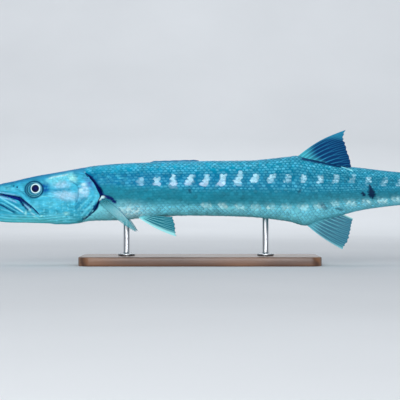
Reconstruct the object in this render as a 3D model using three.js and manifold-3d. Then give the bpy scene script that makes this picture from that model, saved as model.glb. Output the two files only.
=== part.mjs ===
// A great barracuda at life size, held level above a plain display stand.
// Millimetres. +X runs from snout to tail, the fish's left side faces -Y and +Z is up.
// The origin lies on the ground, under the middle of the stand's base.
// Every height in the body's own outlines is measured from its long axis.
import * as THREE from 'three';
import { mergeVertices } from 'three/addons/utils/BufferGeometryUtils.js';
import Module from 'manifold-3d';

const wasm = await Module();
wasm.setup();

// Driving dimensions.
const axisLevel = 150; // height of the long axis above the ground
const gap = 0.35; // clearance between parts that touch
const upperTip = { x: -476, level: -2.6, length: 24 }; // snout
const lowerTip = { x: -490, level: -10, length: 15 }; // chin, which projects past the snout
const tailBase = 446; // end of the flesh, where the tail fin's rays begin
const trunkParting = 60; // between the front and the rear length of the trunk
const stemParting = 300; // between the trunk and the tail stem
const sidesAround = 30; // facets around the body
const headStep = 12; // spacing of the body's sections on the head
const trunkStep = 20; // and behind it
const headEnd = -200;

// A smooth curve through [position, value] stations.
function through(stations) {
  const last = stations.length - 1;
  const slope = (i) => {
    const [xa, va] = stations[Math.max(i - 1, 0)];
    const [xb, vb] = stations[Math.min(i + 1, last)];
    return (vb - va) / (xb - xa);
  };
  return (x) => {
    if (x <= stations[0][0]) return stations[0][1];
    if (x >= stations[last][0]) return stations[last][1];
    let i = 0;
    while (x > stations[i + 1][0]) i += 1;
    const [x0, v0] = stations[i];
    const [x1, v1] = stations[i + 1];
    const span = x1 - x0;
    const t = (x - x0) / span;
    const rise = t * t * (3 - 2 * t);
    const bow0 = t * (1 - t) * (1 - t) * span * slope(i);
    const bow1 = t * t * (1 - t) * span * slope(i + 1);
    return v0 + (v1 - v0) * rise + bow0 - bow1;
  };
}

// The body's outlines: back, belly with the lowered throat, half width and the level where it is widest.
const backLine = through([
  [-490, 0], [-464, 3.2], [-424, 9.2], [-400, 13], [-374, 18], [-350, 24], [-330, 28.4], [-300, 34],
  [-248, 43], [-200, 50.6], [-120, 55.4], [0, 59], [100, 60], [140, 63.4], [180, 68], [196, 69],
  [214, 64.6], [240, 59], [280, 50.4], [320, 45.6], [400, 36.6], [446, 35],
]);
const bellyLine = through([
  [-490, -13], [-468, -26], [-448, -42], [-424, -57], [-400, -65], [-350, -66], [-300, -68.4], [-272, -70],
  [-248, -68], [-220, -62.6], [-160, -61], [-80, -53.4], [0, -52], [100, -54.6], [140, -58.4],
  [180, -64], [212, -71.6], [240, -62], [280, -52.6], [320, -42], [360, -35.6], [400, -31], [446, -30],
]);
const halfWidth = through([
  [-490, 6.5], [-464, 9.5], [-424, 15.5], [-400, 19], [-350, 25], [-300, 31], [-248, 36], [-200, 37.5],
  [0, 40], [100, 40], [194, 38], [280, 31], [360, 22], [400, 17], [446, 9],
]);
const widestLevel = through([
  [-490, -8], [-400, -11], [-330, -13], [-250, -9], [-180, -3], [0, 1], [446, 3],
]);
const topFullness = through([[-490, 2.2], [-330, 2.7], [-250, 2.4], [-150, 2.15], [446, 2.05]]);
const bottomFullness = through([[-490, 2.1], [-330, 1.9], [-200, 2.1], [446, 2.1]]);

// Eye, orbit and nostrils.
const eye = { x: -331, level: 1.4, halfLength: 17.5, halfHeight: 16.5, halfDepth: 8, proud: 1.2 };
const orbit = { x: -331.5, level: 0.8, halfLength: 22.5, halfHeight: 19.5, depth: 2.6, roundness: 9 };
const nostrilDepth = 2.2;
const nostrils = [
  { x: -373, level: 8.4, radius: 1.7 },
  { x: -366, level: 6.4, radius: 2 },
];

// Lines on the head's side, as [x, level] points.
const upperLipLine = [[-500, -4], [-476, -4], [-440, -5], [-400, -6.6], [-380, -10], [-358, -14.5]];
const lowerLipLine = [
  [-500, -7.5], [-476, -8], [-440, -9], [-400, -10.5], [-376, -17], [-360, -22.5], [-345, -38.6],
];
const jawRearLine = [[-345, -38.6], [-342.5, -44], [-345, -50], [-352, -58], [-356, -80]];
const lipMeeting = [-351, -20]; // where the upper lip turns down to the mouth's corner
const cheekFold = [[-360, -15.5], [-343, -26], [-332, -37.4], [-321, -51], [-316, -54.5]];
const dentaryFold = [[-466, -13], [-440, -18], [-400, -30], [-382, -39.4], [-367, -48]];
const upperLipFold = [[-468, 0.6], [-440, -0.2], [-400, -1.8], [-378, -5.4]];
const lowerLipFold = [[-472, -12], [-440, -13.4], [-400, -16], [-380, -21.5]];
const coverFront = [[-262, 22], [-250, 14], [-243, 2], [-244, -16], [-250, -32], [-260, -48], [-276, -58.5]];
const coverRear = [
  [-236, -60.5], [-224, -52], [-211, -40], [-203, -22], [-199, -12],
  [-204, 0], [-211, 14], [-220, 25], [-229, 32],
];
const coverThickness = 5;
const coverProud = 0.8;
const coverInner = 8; // nearest that it comes to the middle of the throat
const coverOverlap = 7; // how far the cover's free edge reaches back over the shoulder
const slitWidth = 3.2;
const slitDepth = 6;

// Teeth.
const tooth = {
  pitch: 8, from: -467, to: -392, height: 3.2, radius: 1.7, sides: 5,
  sunk: 2.2, // how deep it stands in the jaw
  rimInset: 2.3, // how far inside the lip
  flatness: 0.7,
};
const upperFangs = [{ x: -466, side: 3, height: 8 }, { x: -455, side: 5, height: 7 }];
const lowerFang = { x: -482, side: 3, height: 7, radius: 2, sunk: 3.5, lean: 0.25 };
const mouthRoom = { from: -472, to: -372, wall: 3, depth: 10, height: 3 };

// Fins: outlines as [x, level] points from the root's front to the root's rear.
const secondDorsal = {
  rays: 10,
  root: [[194, 66], [216, 61], [250, 54.5], [283, 47]],
  tips: [[291, 121], [285, 104], [289, 90], [294, 74], [301, 58], [306, 36]],
  bow: 6,
  thickness: 2.4,
  drape: 21, // how far the last ray's tip flops over to the left flank
  drapeFrom: 0.72,
};
const analFin = {
  rays: 10,
  root: [[212, -68], [226, -62.5], [256, -55], [287, -48]],
  tips: [[281, -120], [293, -107], [298, -90], [303, -76], [305, -64], [309, -58]],
  bow: -3,
  thickness: 2.4,
};
const tailLobes = {
  rays: 9,
  rows: 8,
  bow: 5,
  thickness: 2,
  fleshShare: 0.3, // how far the tail stem's flesh runs out along the rays
  upper: {
    root: [[446, 35], [450, 18], [451, 2.7]],
    tips: [[619, 101], [583, 66], [553, 33], [540, 17], [529, 2.9]],
  },
  lower: {
    root: [[446, -30], [450, -13], [451, 2.3]],
    tips: [[614, -93], [579, -58], [551, -27], [538, -12], [529, 2.5]],
  },
};
const firstDorsal = { spines: 5, from: -101, to: -2, height: 3, thickness: 3.4, sunk: 1.6 };
const pelvicFin = {
  rays: 6,
  root: [[-123, -56], [-118, -54], [-112, -52.5], [-106, -51]],
  tips: [[-48, -93], [-49.5, -84], [-51, -73], [-53, -63], [-56, -53.5]],
  bow: 0,
  thickness: 3,
  rootSide: 11,
  tipSide: 21,
};
const pectoralFin = {
  rays: 9,
  root: [[-193, -14], [-195, -18.5], [-197, -23], [-199, -27]],
  tips: [[-126, -84], [-134, -80.5], [-146, -73], [-159, -63.5], [-171, -53.5], [-184, -42]],
  bow: 6,
  thickness: 2.8,
  rootSide: 33,
  flankSide: 38.8,
  tipSide: 32,
  rise: 0.14, // share of a ray over which the blade comes out of the flank
};
const ray = { ridge: 0.5, membrane: 0.7, rows: 5, lead: 0.6 };

// The stand.
const base = { length: 480, width: 160, height: 18, corner: 24, edge: 2 };
const rod = {
  radius: 6, footRadius: 17, footHeight: 4, sides: 16, places: [-148, 132],
  topBelowAxis: 30, // ends inside the belly, where it is cut off along the surface
};

// Finishes.
function skin(color, roughness = 0.35) {
  return new THREE.MeshStandardMaterial({ color, roughness, metalness: 0.15 });
}
const finish = {
  head: skin(0x6fb3bd),
  lower_jaw: skin(0x78b5b8),
  gill_cover: skin(0x86c4c8),
  trunk_front: skin(0x5c9fb0),
  trunk_rear: skin(0x568fa8),
  tail_stem: skin(0x5b93a6),
  dark_fin: skin(0x23335e, 0.45),
  clear_fin: skin(0x6fa9ad, 0.4),
  eye: new THREE.MeshStandardMaterial({ color: 0x1b1440, roughness: 0.08, metalness: 0 }),
  wood: new THREE.MeshStandardMaterial({ color: 0x8a623c, roughness: 0.5, metalness: 0 }),
  steel: new THREE.MeshStandardMaterial({ color: 0xb8bcc0, roughness: 0.3, metalness: 1 }),
};

// Solids are joined and cut as manifolds and come back as plain geometries.
function solid(geometry) {
  const bare = geometry.clone();
  bare.deleteAttribute('normal');
  bare.deleteAttribute('uv');
  const merged = mergeVertices(bare, 1e-4);
  const points = Float32Array.from(merged.attributes.position.array);
  const corners = Uint32Array.from(merged.index.array);
  if (signedVolume(points, corners) < 0) corners.reverse();
  return new wasm.Manifold(new wasm.Mesh({ numProp: 3, vertProperties: points, triVerts: corners }));
}

function signedVolume(points, corners) {
  const at = (i) => new THREE.Vector3(points[3 * i], points[3 * i + 1], points[3 * i + 2]);
  let sum = 0;
  for (let i = 0; i < corners.length; i += 3) {
    sum += at(corners[i]).dot(at(corners[i + 1]).cross(at(corners[i + 2])));
  }
  return sum / 6;
}

// A solid's largest closed surface, so that no scrap or sealed hollow stays.
function largest(manifold) {
  return manifold.decompose().reduce((best, piece) => (piece.volume() > best.volume() ? piece : best));
}

function meshOf(name, manifold, material) {
  const { vertProperties, triVerts } = largest(manifold).getMesh();
  const geometry = new THREE.BufferGeometry();
  geometry.setAttribute('position', new THREE.BufferAttribute(vertProperties, 3));
  geometry.setIndex(new THREE.BufferAttribute(triVerts, 1));
  geometry.computeVertexNormals();
  const mesh = new THREE.Mesh(geometry, material);
  mesh.name = name;
  return mesh;
}

function geometryFrom(points, corners) {
  const geometry = new THREE.BufferGeometry();
  geometry.setAttribute('position', new THREE.Float32BufferAttribute(points, 3));
  geometry.setIndex(corners);
  return geometry;
}

const mirrored = (manifold) => manifold.mirror([0, 1, 0]);

// The body's own form: a superellipse at each station, drawn in by an inset and rounded off at the tip.
function sectionAt(x, inset) {
  const level = widestLevel(x);
  return {
    level,
    rise: Math.max(backLine(x) - level - inset, 0.5),
    fall: Math.max(level - bellyLine(x) - inset, 0.5),
    half: Math.max(halfWidth(x) - inset, 0.5),
    top: topFullness(x),
    bottom: bottomFullness(x),
  };
}

function sectionPoint(section, angle) {
  const c = Math.cos(angle);
  const s = Math.sin(angle);
  const power = 2 / (s > 0 ? section.top : section.bottom);
  const reach = s > 0 ? section.rise : section.fall;
  return [
    section.half * Math.sign(c) * Math.abs(c) ** power,
    section.level + reach * Math.sign(s) * Math.abs(s) ** power,
  ];
}

function bodyLoft(tip, inset = 0) {
  const noseX = tip.x + inset;
  const stations = [0.04, 0.14, 0.3, 0.5, 0.75].map((part) => noseX + part * tip.length);
  for (let x = noseX + tip.length; x < headEnd - headStep / 2; x += headStep) stations.push(x);
  for (let x = headEnd; x < tailBase - trunkStep / 2; x += trunkStep) stations.push(x);
  stations.push(tailBase);
  const points = [noseX, 0, tip.level];
  for (const x of stations) {
    const rest = Math.max(1 - (x - noseX) / tip.length, 0);
    const shrink = Math.sqrt(1 - rest * rest);
    const section = sectionAt(x, inset);
    for (let k = 0; k < sidesAround; k += 1) {
      const [side, level] = sectionPoint(section, (2 * Math.PI * k) / sidesAround);
      points.push(x, side * shrink, tip.level + (level - tip.level) * shrink);
    }
  }
  points.push(stations.at(-1), 0, sectionAt(tailBase, inset).level);
  const corners = [];
  const end = points.length / 3 - 1;
  for (let k = 0; k < sidesAround; k += 1) {
    const next = (k + 1) % sidesAround;
    corners.push(0, 1 + next, 1 + k);
    for (let ring = 0; ring < stations.length - 1; ring += 1) {
      const here = 1 + ring * sidesAround;
      const there = here + sidesAround;
      corners.push(here + k, here + next, there + next, here + k, there + next, there + k);
    }
    const lastRing = 1 + (stations.length - 1) * sidesAround;
    corners.push(end, lastRing + k, lastRing + next);
  }
  return solid(geometryFrom(points, corners));
}

// How far out the body's side lies at a station and level.
function sideAt(x, level) {
  const section = sectionAt(x, 0);
  const up = level > section.level;
  const share = Math.min(Math.abs(level - section.level) / (up ? section.rise : section.fall), 1);
  const power = up ? section.top : section.bottom;
  return section.half * (1 - share ** power) ** (1 / power);
}

// Flat outlines on the body's side, cut through it from left to right.
const reachAside = 90;
function prism(outline, near = -reachAside, far = reachAside) {
  const shape = new THREE.Shape(outline.map(([x, level]) => new THREE.Vector2(x, level)));
  const geometry = new THREE.ExtrudeGeometry(shape, { depth: far - near, bevelEnabled: false });
  geometry.rotateX(Math.PI / 2);
  geometry.translate(0, far, 0);
  return solid(geometry);
}

function smoothLine(points, count) {
  const places = points.map(([x, level]) => new THREE.Vector3(x, level, 0));
  const curve = new THREE.CatmullRomCurve3(places, false, 'centripetal');
  return curve.getPoints(count).map((p) => [p.x, p.y]);
}

// A closed outline moved outwards by a distance.
function grown(outline, distance) {
  const turn = outline.reduce((sum, [x, level], i) => {
    const [nextX, nextLevel] = outline[(i + 1) % outline.length];
    return sum + x * nextLevel - nextX * level;
  }, 0);
  const out = Math.sign(turn) * distance;
  return outline.map((point, i) => {
    const before = outline[(i + outline.length - 1) % outline.length];
    const after = outline[(i + 1) % outline.length];
    const a = new THREE.Vector2(point[0] - before[0], point[1] - before[1]).normalize();
    const b = new THREE.Vector2(after[0] - point[0], after[1] - point[1]).normalize();
    const normal = new THREE.Vector2(a.y + b.y, -a.x - b.x).normalize();
    const stretch = Math.min(1 / Math.max(normal.dot(new THREE.Vector2(a.y, -a.x)), 0.4), 2);
    return [point[0] + normal.x * out * stretch, point[1] + normal.y * out * stretch];
  });
}

// A band that follows a line, tapering to its ends, as a closed outline.
function band(line, width, count = 6) {
  const points = smoothLine(line, count);
  const side = (sign) => points.map(([x, level], i) => {
    const [xa, la] = points[Math.max(i - 1, 0)];
    const [xb, lb] = points[Math.min(i + 1, points.length - 1)];
    const along = new THREE.Vector2(xb - xa, lb - la).normalize();
    const taper = Math.sin((Math.PI * (i + 0.4)) / (points.length - 0.2));
    const half = (width / 2) * Math.max(taper, 0.15) ** 0.5;
    return [x - along.y * half * sign, level + along.x * half * sign];
  });
  return [...side(1), ...side(-1).reverse()];
}

// The body's solids, in the body's own frame.
const upperBody = bodyLoft(upperTip);
const lowerBody = bodyLoft(lowerTip);
const clearOfBody = bodyLoft(upperTip, -gap);
const shells = new Map();
function under(depth) {
  if (!shells.has(depth)) shells.set(depth, bodyLoft(upperTip, depth));
  return shells.get(depth);
}
const groove = (line, width, depth) => prism(band(line, width)).subtract(under(depth));

const mouthCorner = lowerLipLine.at(-1);
const ahead = -520; // well ahead of the chin
const below = -100; // and well below and above the body
const above = 90;
const lipFront = lowerLipLine[0][1];
const jawOutline = [
  ...smoothLine(lowerLipLine, 12), ...smoothLine(jawRearLine, 7).slice(1), [ahead, jawRearLine.at(-1)[1]],
  [ahead, lipFront],
];
const jawZone = prism(jawOutline);
const jawClearance = prism(grown(jawOutline, gap));
const gape = prism([
  ...smoothLine([...upperLipLine, lipMeeting, mouthCorner], 12),
  ...smoothLine(lowerLipLine, 12).slice(0, -1).reverse(),
]);
const aheadOfSnout = prism([
  [ahead, lipFront], [ahead, above], [upperTip.x - 3, above], [upperTip.x - 3, lipFront],
]);

const coverOutline = [...smoothLine(coverRear, 16), ...smoothLine(coverFront, 10)];
const coverPrism = prism(grown(coverOutline, gap), -reachAside, gap - coverInner);
const coverRoom = coverPrism.subtract(under(coverThickness + gap));
const coverClearance = coverRoom.add(mirrored(coverRoom));
const headRear = [
  [-246, below], [-246, -66], ...smoothLine(coverRear, 16).map(([x, level]) => [x - coverOverlap, level]),
  [-237, 42], [-238, above],
];
const headOutline = [[ahead, below], ...headRear, [ahead, above]];
const headZone = prism(headOutline);
const headClearance = prism(grown(headOutline, gap));
const gillSlit = coverRear.map(([x, level]) => [x + slitWidth / 2 + gap, level]);

// An ellipsoid on the left side, its short axis turned square to the skin there.
function ellipsoid(place, radii, columns = 18, rows = 10) {
  const [x, , level] = place;
  const reach = 8;
  const alongSlope = (sideAt(x + reach, level) - sideAt(x - reach, level)) / (2 * reach);
  const upSlope = (sideAt(x, level + reach) - sideAt(x, level - reach)) / (2 * reach);
  const geometry = new THREE.SphereGeometry(1, columns, rows);
  geometry.rotateX(Math.PI / 2);
  geometry.scale(...radii);
  geometry.rotateX(Math.atan(upSlope));
  geometry.rotateZ(-Math.atan(alongSlope));
  geometry.translate(...place);
  return solid(geometry);
}

function eyeball(extra) {
  const centre = sideAt(eye.x, eye.level) + eye.proud - eye.halfDepth;
  return ellipsoid(
    [eye.x, -centre, eye.level],
    [eye.halfLength + extra, eye.halfDepth + extra, eye.halfHeight + extra],
  );
}

function orbitHollow() {
  const surface = sideAt(orbit.x, orbit.level);
  const reach = orbit.roundness; // the hollow is the inner cap of a shallow ellipsoid
  const spread = 1 / Math.sqrt(1 - (1 - orbit.depth / reach) ** 2);
  return ellipsoid(
    [orbit.x, -(surface + reach - orbit.depth), orbit.level],
    [orbit.halfLength * spread, reach, orbit.halfHeight * spread],
    24,
    10,
  );
}

// A tooth or fang: a flattened cone from inside the jaw to its point.
function cone({ x, side, root, tip, radius, lean = 0 }) {
  const height = Math.abs(tip - root);
  const geometry = new THREE.ConeGeometry(radius, height, tooth.sides);
  geometry.scale(1, 1, tooth.flatness);
  geometry.rotateX(tip > root ? Math.PI / 2 : -Math.PI / 2);
  geometry.rotateY(lean);
  geometry.translate(x, side, (root + tip) / 2);
  return solid(geometry);
}

const upperLip = through(upperLipLine);
const lowerLip = through(lowerLipLine);
const bothSides = (shape) => [cone(shape), cone({ ...shape, side: -shape.side })];

function toothRow(direction, lip, offset) {
  const row = [];
  for (let x = tooth.from + offset; x <= tooth.to; x += tooth.pitch) {
    const wave = 0.85 + 0.15 * Math.sin(x * 0.9);
    const root = lip(x) - direction * tooth.sunk;
    const tip = lip(x) + direction * tooth.height * wave;
    const side = sideAt(x, lip(x)) - tooth.rimInset;
    row.push(...bothSides({ x, side, root, tip, radius: tooth.radius }));
  }
  return row;
}

function headSolid() {
  let head = upperBody.intersect(headZone).subtract(gape).subtract(jawClearance).subtract(aheadOfSnout);
  const teeth = toothRow(-1, upperLip, 0);
  for (const { x, side, height } of upperFangs) {
    const root = upperLip(x) + tooth.sunk;
    const tip = upperLip(x) - height;
    teeth.push(...bothSides({ x, side, root, tip, radius: tooth.radius }));
  }
  for (const piece of teeth) head = head.add(piece);
  head = head.subtract(groove(cheekFold, 3, 5)).subtract(groove(upperLipFold, 1.2, 0.9));
  head = head.subtract(coverClearance);
  for (const flip of [(m) => m, mirrored]) {
    head = head.subtract(flip(orbitHollow())).subtract(flip(eyeball(gap)));
    for (const { x, level, radius } of nostrils) {
      const side = sideAt(x, level);
      head = head.subtract(flip(ellipsoid([x, -side, level], [radius, nostrilDepth, radius * 0.7], 7, 4)));
    }
  }
  return head;
}

function jawSolid() {
  const roomOutline = [
    [mouthRoom.from, lowerLip(mouthRoom.from) + mouthRoom.height],
    [mouthRoom.from, lowerLip(mouthRoom.from) - mouthRoom.depth * 0.6],
    [-440, lowerLip(-440) - mouthRoom.depth],
    [mouthRoom.to, lowerLip(mouthRoom.to) - mouthRoom.depth],
    [mouthRoom.to, lowerLip(mouthRoom.to) + mouthRoom.height],
  ];
  let jaw = lowerBody.intersect(jawZone);
  jaw = jaw.subtract(prism(roomOutline).intersect(bodyLoft(lowerTip, mouthRoom.wall)));
  const teeth = toothRow(1, lowerLip, tooth.pitch / 2);
  const fangLevel = lowerLip(lowerFang.x);
  teeth.push(...bothSides({
    ...lowerFang,
    root: fangLevel - lowerFang.sunk,
    tip: fangLevel + lowerFang.height,
  }));
  for (const piece of teeth) jaw = jaw.add(piece);
  return jaw.subtract(groove(dentaryFold, 2.2, 2)).subtract(groove(lowerLipFold, 1.2, 0.9));
}

function coverSolid() {
  const half = prism(coverOutline, -reachAside, -coverInner);
  return bodyLoft(upperTip, -coverProud).intersect(half).subtract(under(coverThickness));
}

function trunkSolid() {
  const slit = groove(gillSlit, slitWidth, slitDepth);
  return upperBody.subtract(headClearance).subtract(coverClearance).subtract(slit);
}

// A length of the body between two partings.
function lengthBetween(body, from, to) {
  return body.intersect(prism([[from, below], [to, below], [to, above], [from, above]]));
}

// A thin fin: a grid of columns along its root and rows out to its margin. Odd columns carry the rays,
// as ridges raised on both faces, and both faces are split into triangles alike.
function finSolid({ rays, rows = ray.rows, centre, thickness, jag = 0.02 }) {
  const columns = 2 * rays - 1;
  const points = [];
  const index = (face, i, j) => (face * columns + i) * (rows + 1) + j;
  const grid = [];
  for (let i = 0; i < columns; i += 1) {
    const isRay = i % 2 === 0;
    for (let j = 0; j <= rows; j += 1) {
      const u = i / (columns - 1);
      const v = (j / rows) * (isRay ? 1 : 1 - jag);
      grid.push({ place: centre(u, v), half: thickness(u, v, isRay) / 2 });
    }
  }
  const held = (i, last) => Math.min(Math.max(i, 0), last);
  const at = (i, j) => grid[held(i, columns - 1) * (rows + 1) + held(j, rows)].place;
  for (const sign of [1, -1]) {
    for (let i = 0; i < columns; i += 1) {
      for (let j = 0; j <= rows; j += 1) {
        const across = at(i + 1, j).clone().sub(at(i - 1, j));
        const outwards = at(i, j + 1).clone().sub(at(i, j - 1));
        const normal = across.cross(outwards).normalize();
        const { place, half } = grid[i * (rows + 1) + j];
        points.push(...place.clone().addScaledVector(normal, sign * half).toArray());
      }
    }
  }
  const corners = [];
  const quad = (a, b, c, d) => corners.push(a, b, c, a, c, d);
  for (let i = 0; i < columns - 1; i += 1) {
    for (let j = 0; j < rows; j += 1) {
      quad(index(0, i, j), index(0, i + 1, j), index(0, i + 1, j + 1), index(0, i, j + 1));
      const [a, b] = [index(1, i, j), index(1, i + 1, j)];
      const [c, d] = [index(1, i + 1, j + 1), index(1, i, j + 1)];
      corners.push(a, c, b, a, d, c);
    }
    quad(index(1, i, 0), index(1, i + 1, 0), index(0, i + 1, 0), index(0, i, 0));
    quad(index(0, i, rows), index(0, i + 1, rows), index(1, i + 1, rows), index(1, i, rows));
  }
  for (let j = 0; j < rows; j += 1) {
    quad(index(0, 0, j), index(0, 0, j + 1), index(1, 0, j + 1), index(1, 0, j));
    const edge = columns - 1;
    quad(index(0, edge, j + 1), index(0, edge, j), index(1, edge, j), index(1, edge, j + 1));
  }
  return solid(geometryFrom(points, corners));
}

// The centre surface between a root line and a line of ray tips, bowed along the rays.
function fan({ root, tips, bow }, sideways) {
  const curve = (line) => new THREE.CatmullRomCurve3(
    line.map(([x, level]) => new THREE.Vector3(x, 0, level)), false, 'centripetal',
  );
  const rootCurve = curve(root);
  const tipCurve = curve(tips);
  return (u, v) => {
    const start = rootCurve.getPoint(u);
    const end = tipCurve.getPoint(u);
    const point = start.clone().lerp(end, v);
    const along = end.clone().sub(start).normalize();
    const arch = bow * Math.sin(Math.PI * v) * (1 - u);
    point.x += -along.z * arch;
    point.z += along.x * arch;
    point.y = sideways(u, v, point);
    return point;
  };
}

// Ray and membrane thickness from root to margin.
function finThickness(rootThickness, tipThickness = ray.membrane) {
  return (u, v, isRay) => {
    const body = rootThickness + (tipThickness - rootThickness) * Math.min(v * 2.2, 1) ** 0.6;
    const ridge = isRay ? 2 * ray.ridge * (1 - v * 0.7) : 0;
    const lead = u === 0 ? ray.lead * (1 - v) : 0;
    return body + ridge + lead;
  };
}

function secondDorsalSolid() {
  const { rays, thickness, drape, drapeFrom } = secondDorsal;
  const sideways = (u, v) => -drape * v * Math.max((u - drapeFrom) / (1 - drapeFrom), 0) ** 2;
  return finSolid({ rays, centre: fan(secondDorsal, sideways), thickness: finThickness(thickness) });
}

function analSolid() {
  const { rays, thickness } = analFin;
  return finSolid({ rays, centre: fan(analFin, () => 0), thickness: finThickness(thickness) });
}

// One lobe of the tail fin, from its leading edge to the middle of the fork.
function tailLobe(outline, upwards) {
  const centre = fan({ ...outline, bow: tailLobes.bow * upwards }, () => 0);
  const { fleshShare } = tailLobes;
  const flesh = (u, v) => 2 * sideAt(tailBase, centre(u, 0).z) * Math.max(1 - v / fleshShare, 0) ** 1.3;
  const thin = finThickness(tailLobes.thickness);
  return finSolid({
    rays: tailLobes.rays,
    rows: tailLobes.rows,
    centre,
    thickness: (u, v, isRay) => Math.max(thin(u, v, isRay), flesh(u, v)),
  });
}

function firstDorsalSolid() {
  const { spines, from, to, height, thickness, sunk } = firstDorsal;
  const columns = spines * 2 + 1;
  const centre = (u, v) => {
    const x = from + (to - from) * u;
    const fall = Math.min(u / 0.07, 1) * Math.min((1 - u) / 0.12 + 0.25, 1);
    const notch = 0.7 + 0.3 * Math.abs(Math.sin(Math.PI * spines * u));
    const level = backLine(x) - sunk + v * (sunk + height * fall * notch);
    return new THREE.Vector3(x, 0, level);
  };
  return finSolid({
    rays: columns, rows: 3, centre, jag: 0,
    thickness: (u, v, isRay) => thickness * (1 - 0.45 * v) * (isRay ? 1 : 0.85) * Math.min(0.45 + 8 * u, 1),
  });
}

function pelvicSolid() {
  const { rays, thickness, rootSide, tipSide } = pelvicFin;
  const splay = (u, v) => -(rootSide + (tipSide - rootSide) * v * (1 - 0.35 * u));
  return finSolid({ rays, centre: fan(pelvicFin, splay), thickness: finThickness(thickness) });
}

function pectoralSolid() {
  const { rays, thickness, rootSide, flankSide, tipSide, rise } = pectoralFin;
  const beside = (u, v) => {
    const out = (flankSide - rootSide) * Math.min(v / rise, 1);
    const inwards = (tipSide - flankSide) * (Math.max(v - rise, 0) / (1 - rise));
    return -(rootSide + out + inwards);
  };
  return finSolid({ rays, rows: 7, centre: fan(pectoralFin, beside), thickness: finThickness(thickness) });
}

function baseSolid() {
  const { length, width, height, corner, edge } = base;
  const halfLength = length / 2 - edge;
  const halfWide = width / 2 - edge;
  const radius = corner - edge;
  const shape = new THREE.Shape();
  shape.moveTo(-halfLength + radius, -halfWide);
  shape.lineTo(halfLength - radius, -halfWide);
  shape.absarc(halfLength - radius, -halfWide + radius, radius, -Math.PI / 2, 0);
  shape.absarc(halfLength - radius, halfWide - radius, radius, 0, Math.PI / 2);
  shape.absarc(-halfLength + radius, halfWide - radius, radius, Math.PI / 2, Math.PI);
  shape.absarc(-halfLength + radius, -halfWide + radius, radius, Math.PI, 1.5 * Math.PI);
  const geometry = new THREE.ExtrudeGeometry(shape, {
    depth: height - 2 * edge, bevelThickness: edge, bevelSize: edge, bevelSegments: 1, curveSegments: 5,
  });
  geometry.translate(0, 0, edge);
  return solid(geometry);
}

function rodSolid(x) {
  const { radius, footRadius, footHeight, sides } = rod;
  const bottom = base.height + gap;
  const top = axisLevel - rod.topBelowAxis;
  const shoulder = bottom + footHeight;
  const profile = [
    [0, bottom], [footRadius, bottom], [footRadius, shoulder - 1.5], [footRadius - 2, shoulder],
    [radius + 1.5, shoulder + 1.5], [radius, shoulder + 4], [radius, top], [0, top],
  ].map(([r, z]) => new THREE.Vector2(r, z));
  const geometry = new THREE.LatheGeometry(profile, sides);
  geometry.rotateX(Math.PI / 2);
  geometry.translate(x, 0, 0);
  return solid(geometry).subtract(clearOfBody.translate([0, 0, axisLevel]));
}

// The model: the fish in its own frame, lifted to its level, and the stand below it.
const fish = new THREE.Group();
fish.position.z = axisLevel;

const trunk = trunkSolid();
const cover = coverSolid();
const fleshy = [
  ['head', headSolid(), finish.head],
  ['lower_jaw', jawSolid(), finish.lower_jaw],
  ['gill_cover_left', cover, finish.gill_cover],
  ['gill_cover_right', mirrored(cover), finish.gill_cover],
  ['eye_left', eyeball(0), finish.eye],
  ['eye_right', mirrored(eyeball(0)), finish.eye],
  ['trunk_front', lengthBetween(trunk, coverFront.at(-1)[0] - reachAside, trunkParting), finish.trunk_front],
  ['trunk_rear', lengthBetween(trunk, trunkParting + gap, stemParting), finish.trunk_rear],
  ['tail_stem', lengthBetween(trunk, stemParting + gap, tailBase + 1), finish.tail_stem],
];

const besideCover = (fin) => fin.subtract(clearOfBody).subtract(coverClearance);
const pelvic = pelvicSolid().subtract(clearOfBody);
const pectoral = besideCover(pectoralSolid());
const fins = [
  ['first_dorsal_fin', firstDorsalSolid().subtract(clearOfBody), finish.dark_fin],
  ['second_dorsal_fin', secondDorsalSolid().subtract(clearOfBody), finish.dark_fin],
  ['anal_fin', analSolid().subtract(clearOfBody), finish.clear_fin],
  ['tail_fin_upper', tailLobe(tailLobes.upper, 1).subtract(clearOfBody), finish.dark_fin],
  ['tail_fin_lower', tailLobe(tailLobes.lower, -1).subtract(clearOfBody), finish.dark_fin],
  ['pelvic_fin_left', pelvic, finish.clear_fin],
  ['pelvic_fin_right', mirrored(pelvic), finish.clear_fin],
  ['pectoral_fin_left', pectoral, finish.clear_fin],
  ['pectoral_fin_right', mirrored(pectoral), finish.clear_fin],
];
for (const [name, manifold, material] of [...fleshy, ...fins]) fish.add(meshOf(name, manifold, material));

const barracuda = new THREE.Group();
barracuda.add(fish);
barracuda.add(meshOf('stand_base', baseSolid(), finish.wood));
rod.places.forEach((x, i) => {
  barracuda.add(meshOf(i === 0 ? 'stand_rod_front' : 'stand_rod_rear', rodSolid(x), finish.steel));
});

export default barracuda;
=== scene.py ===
import math

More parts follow.
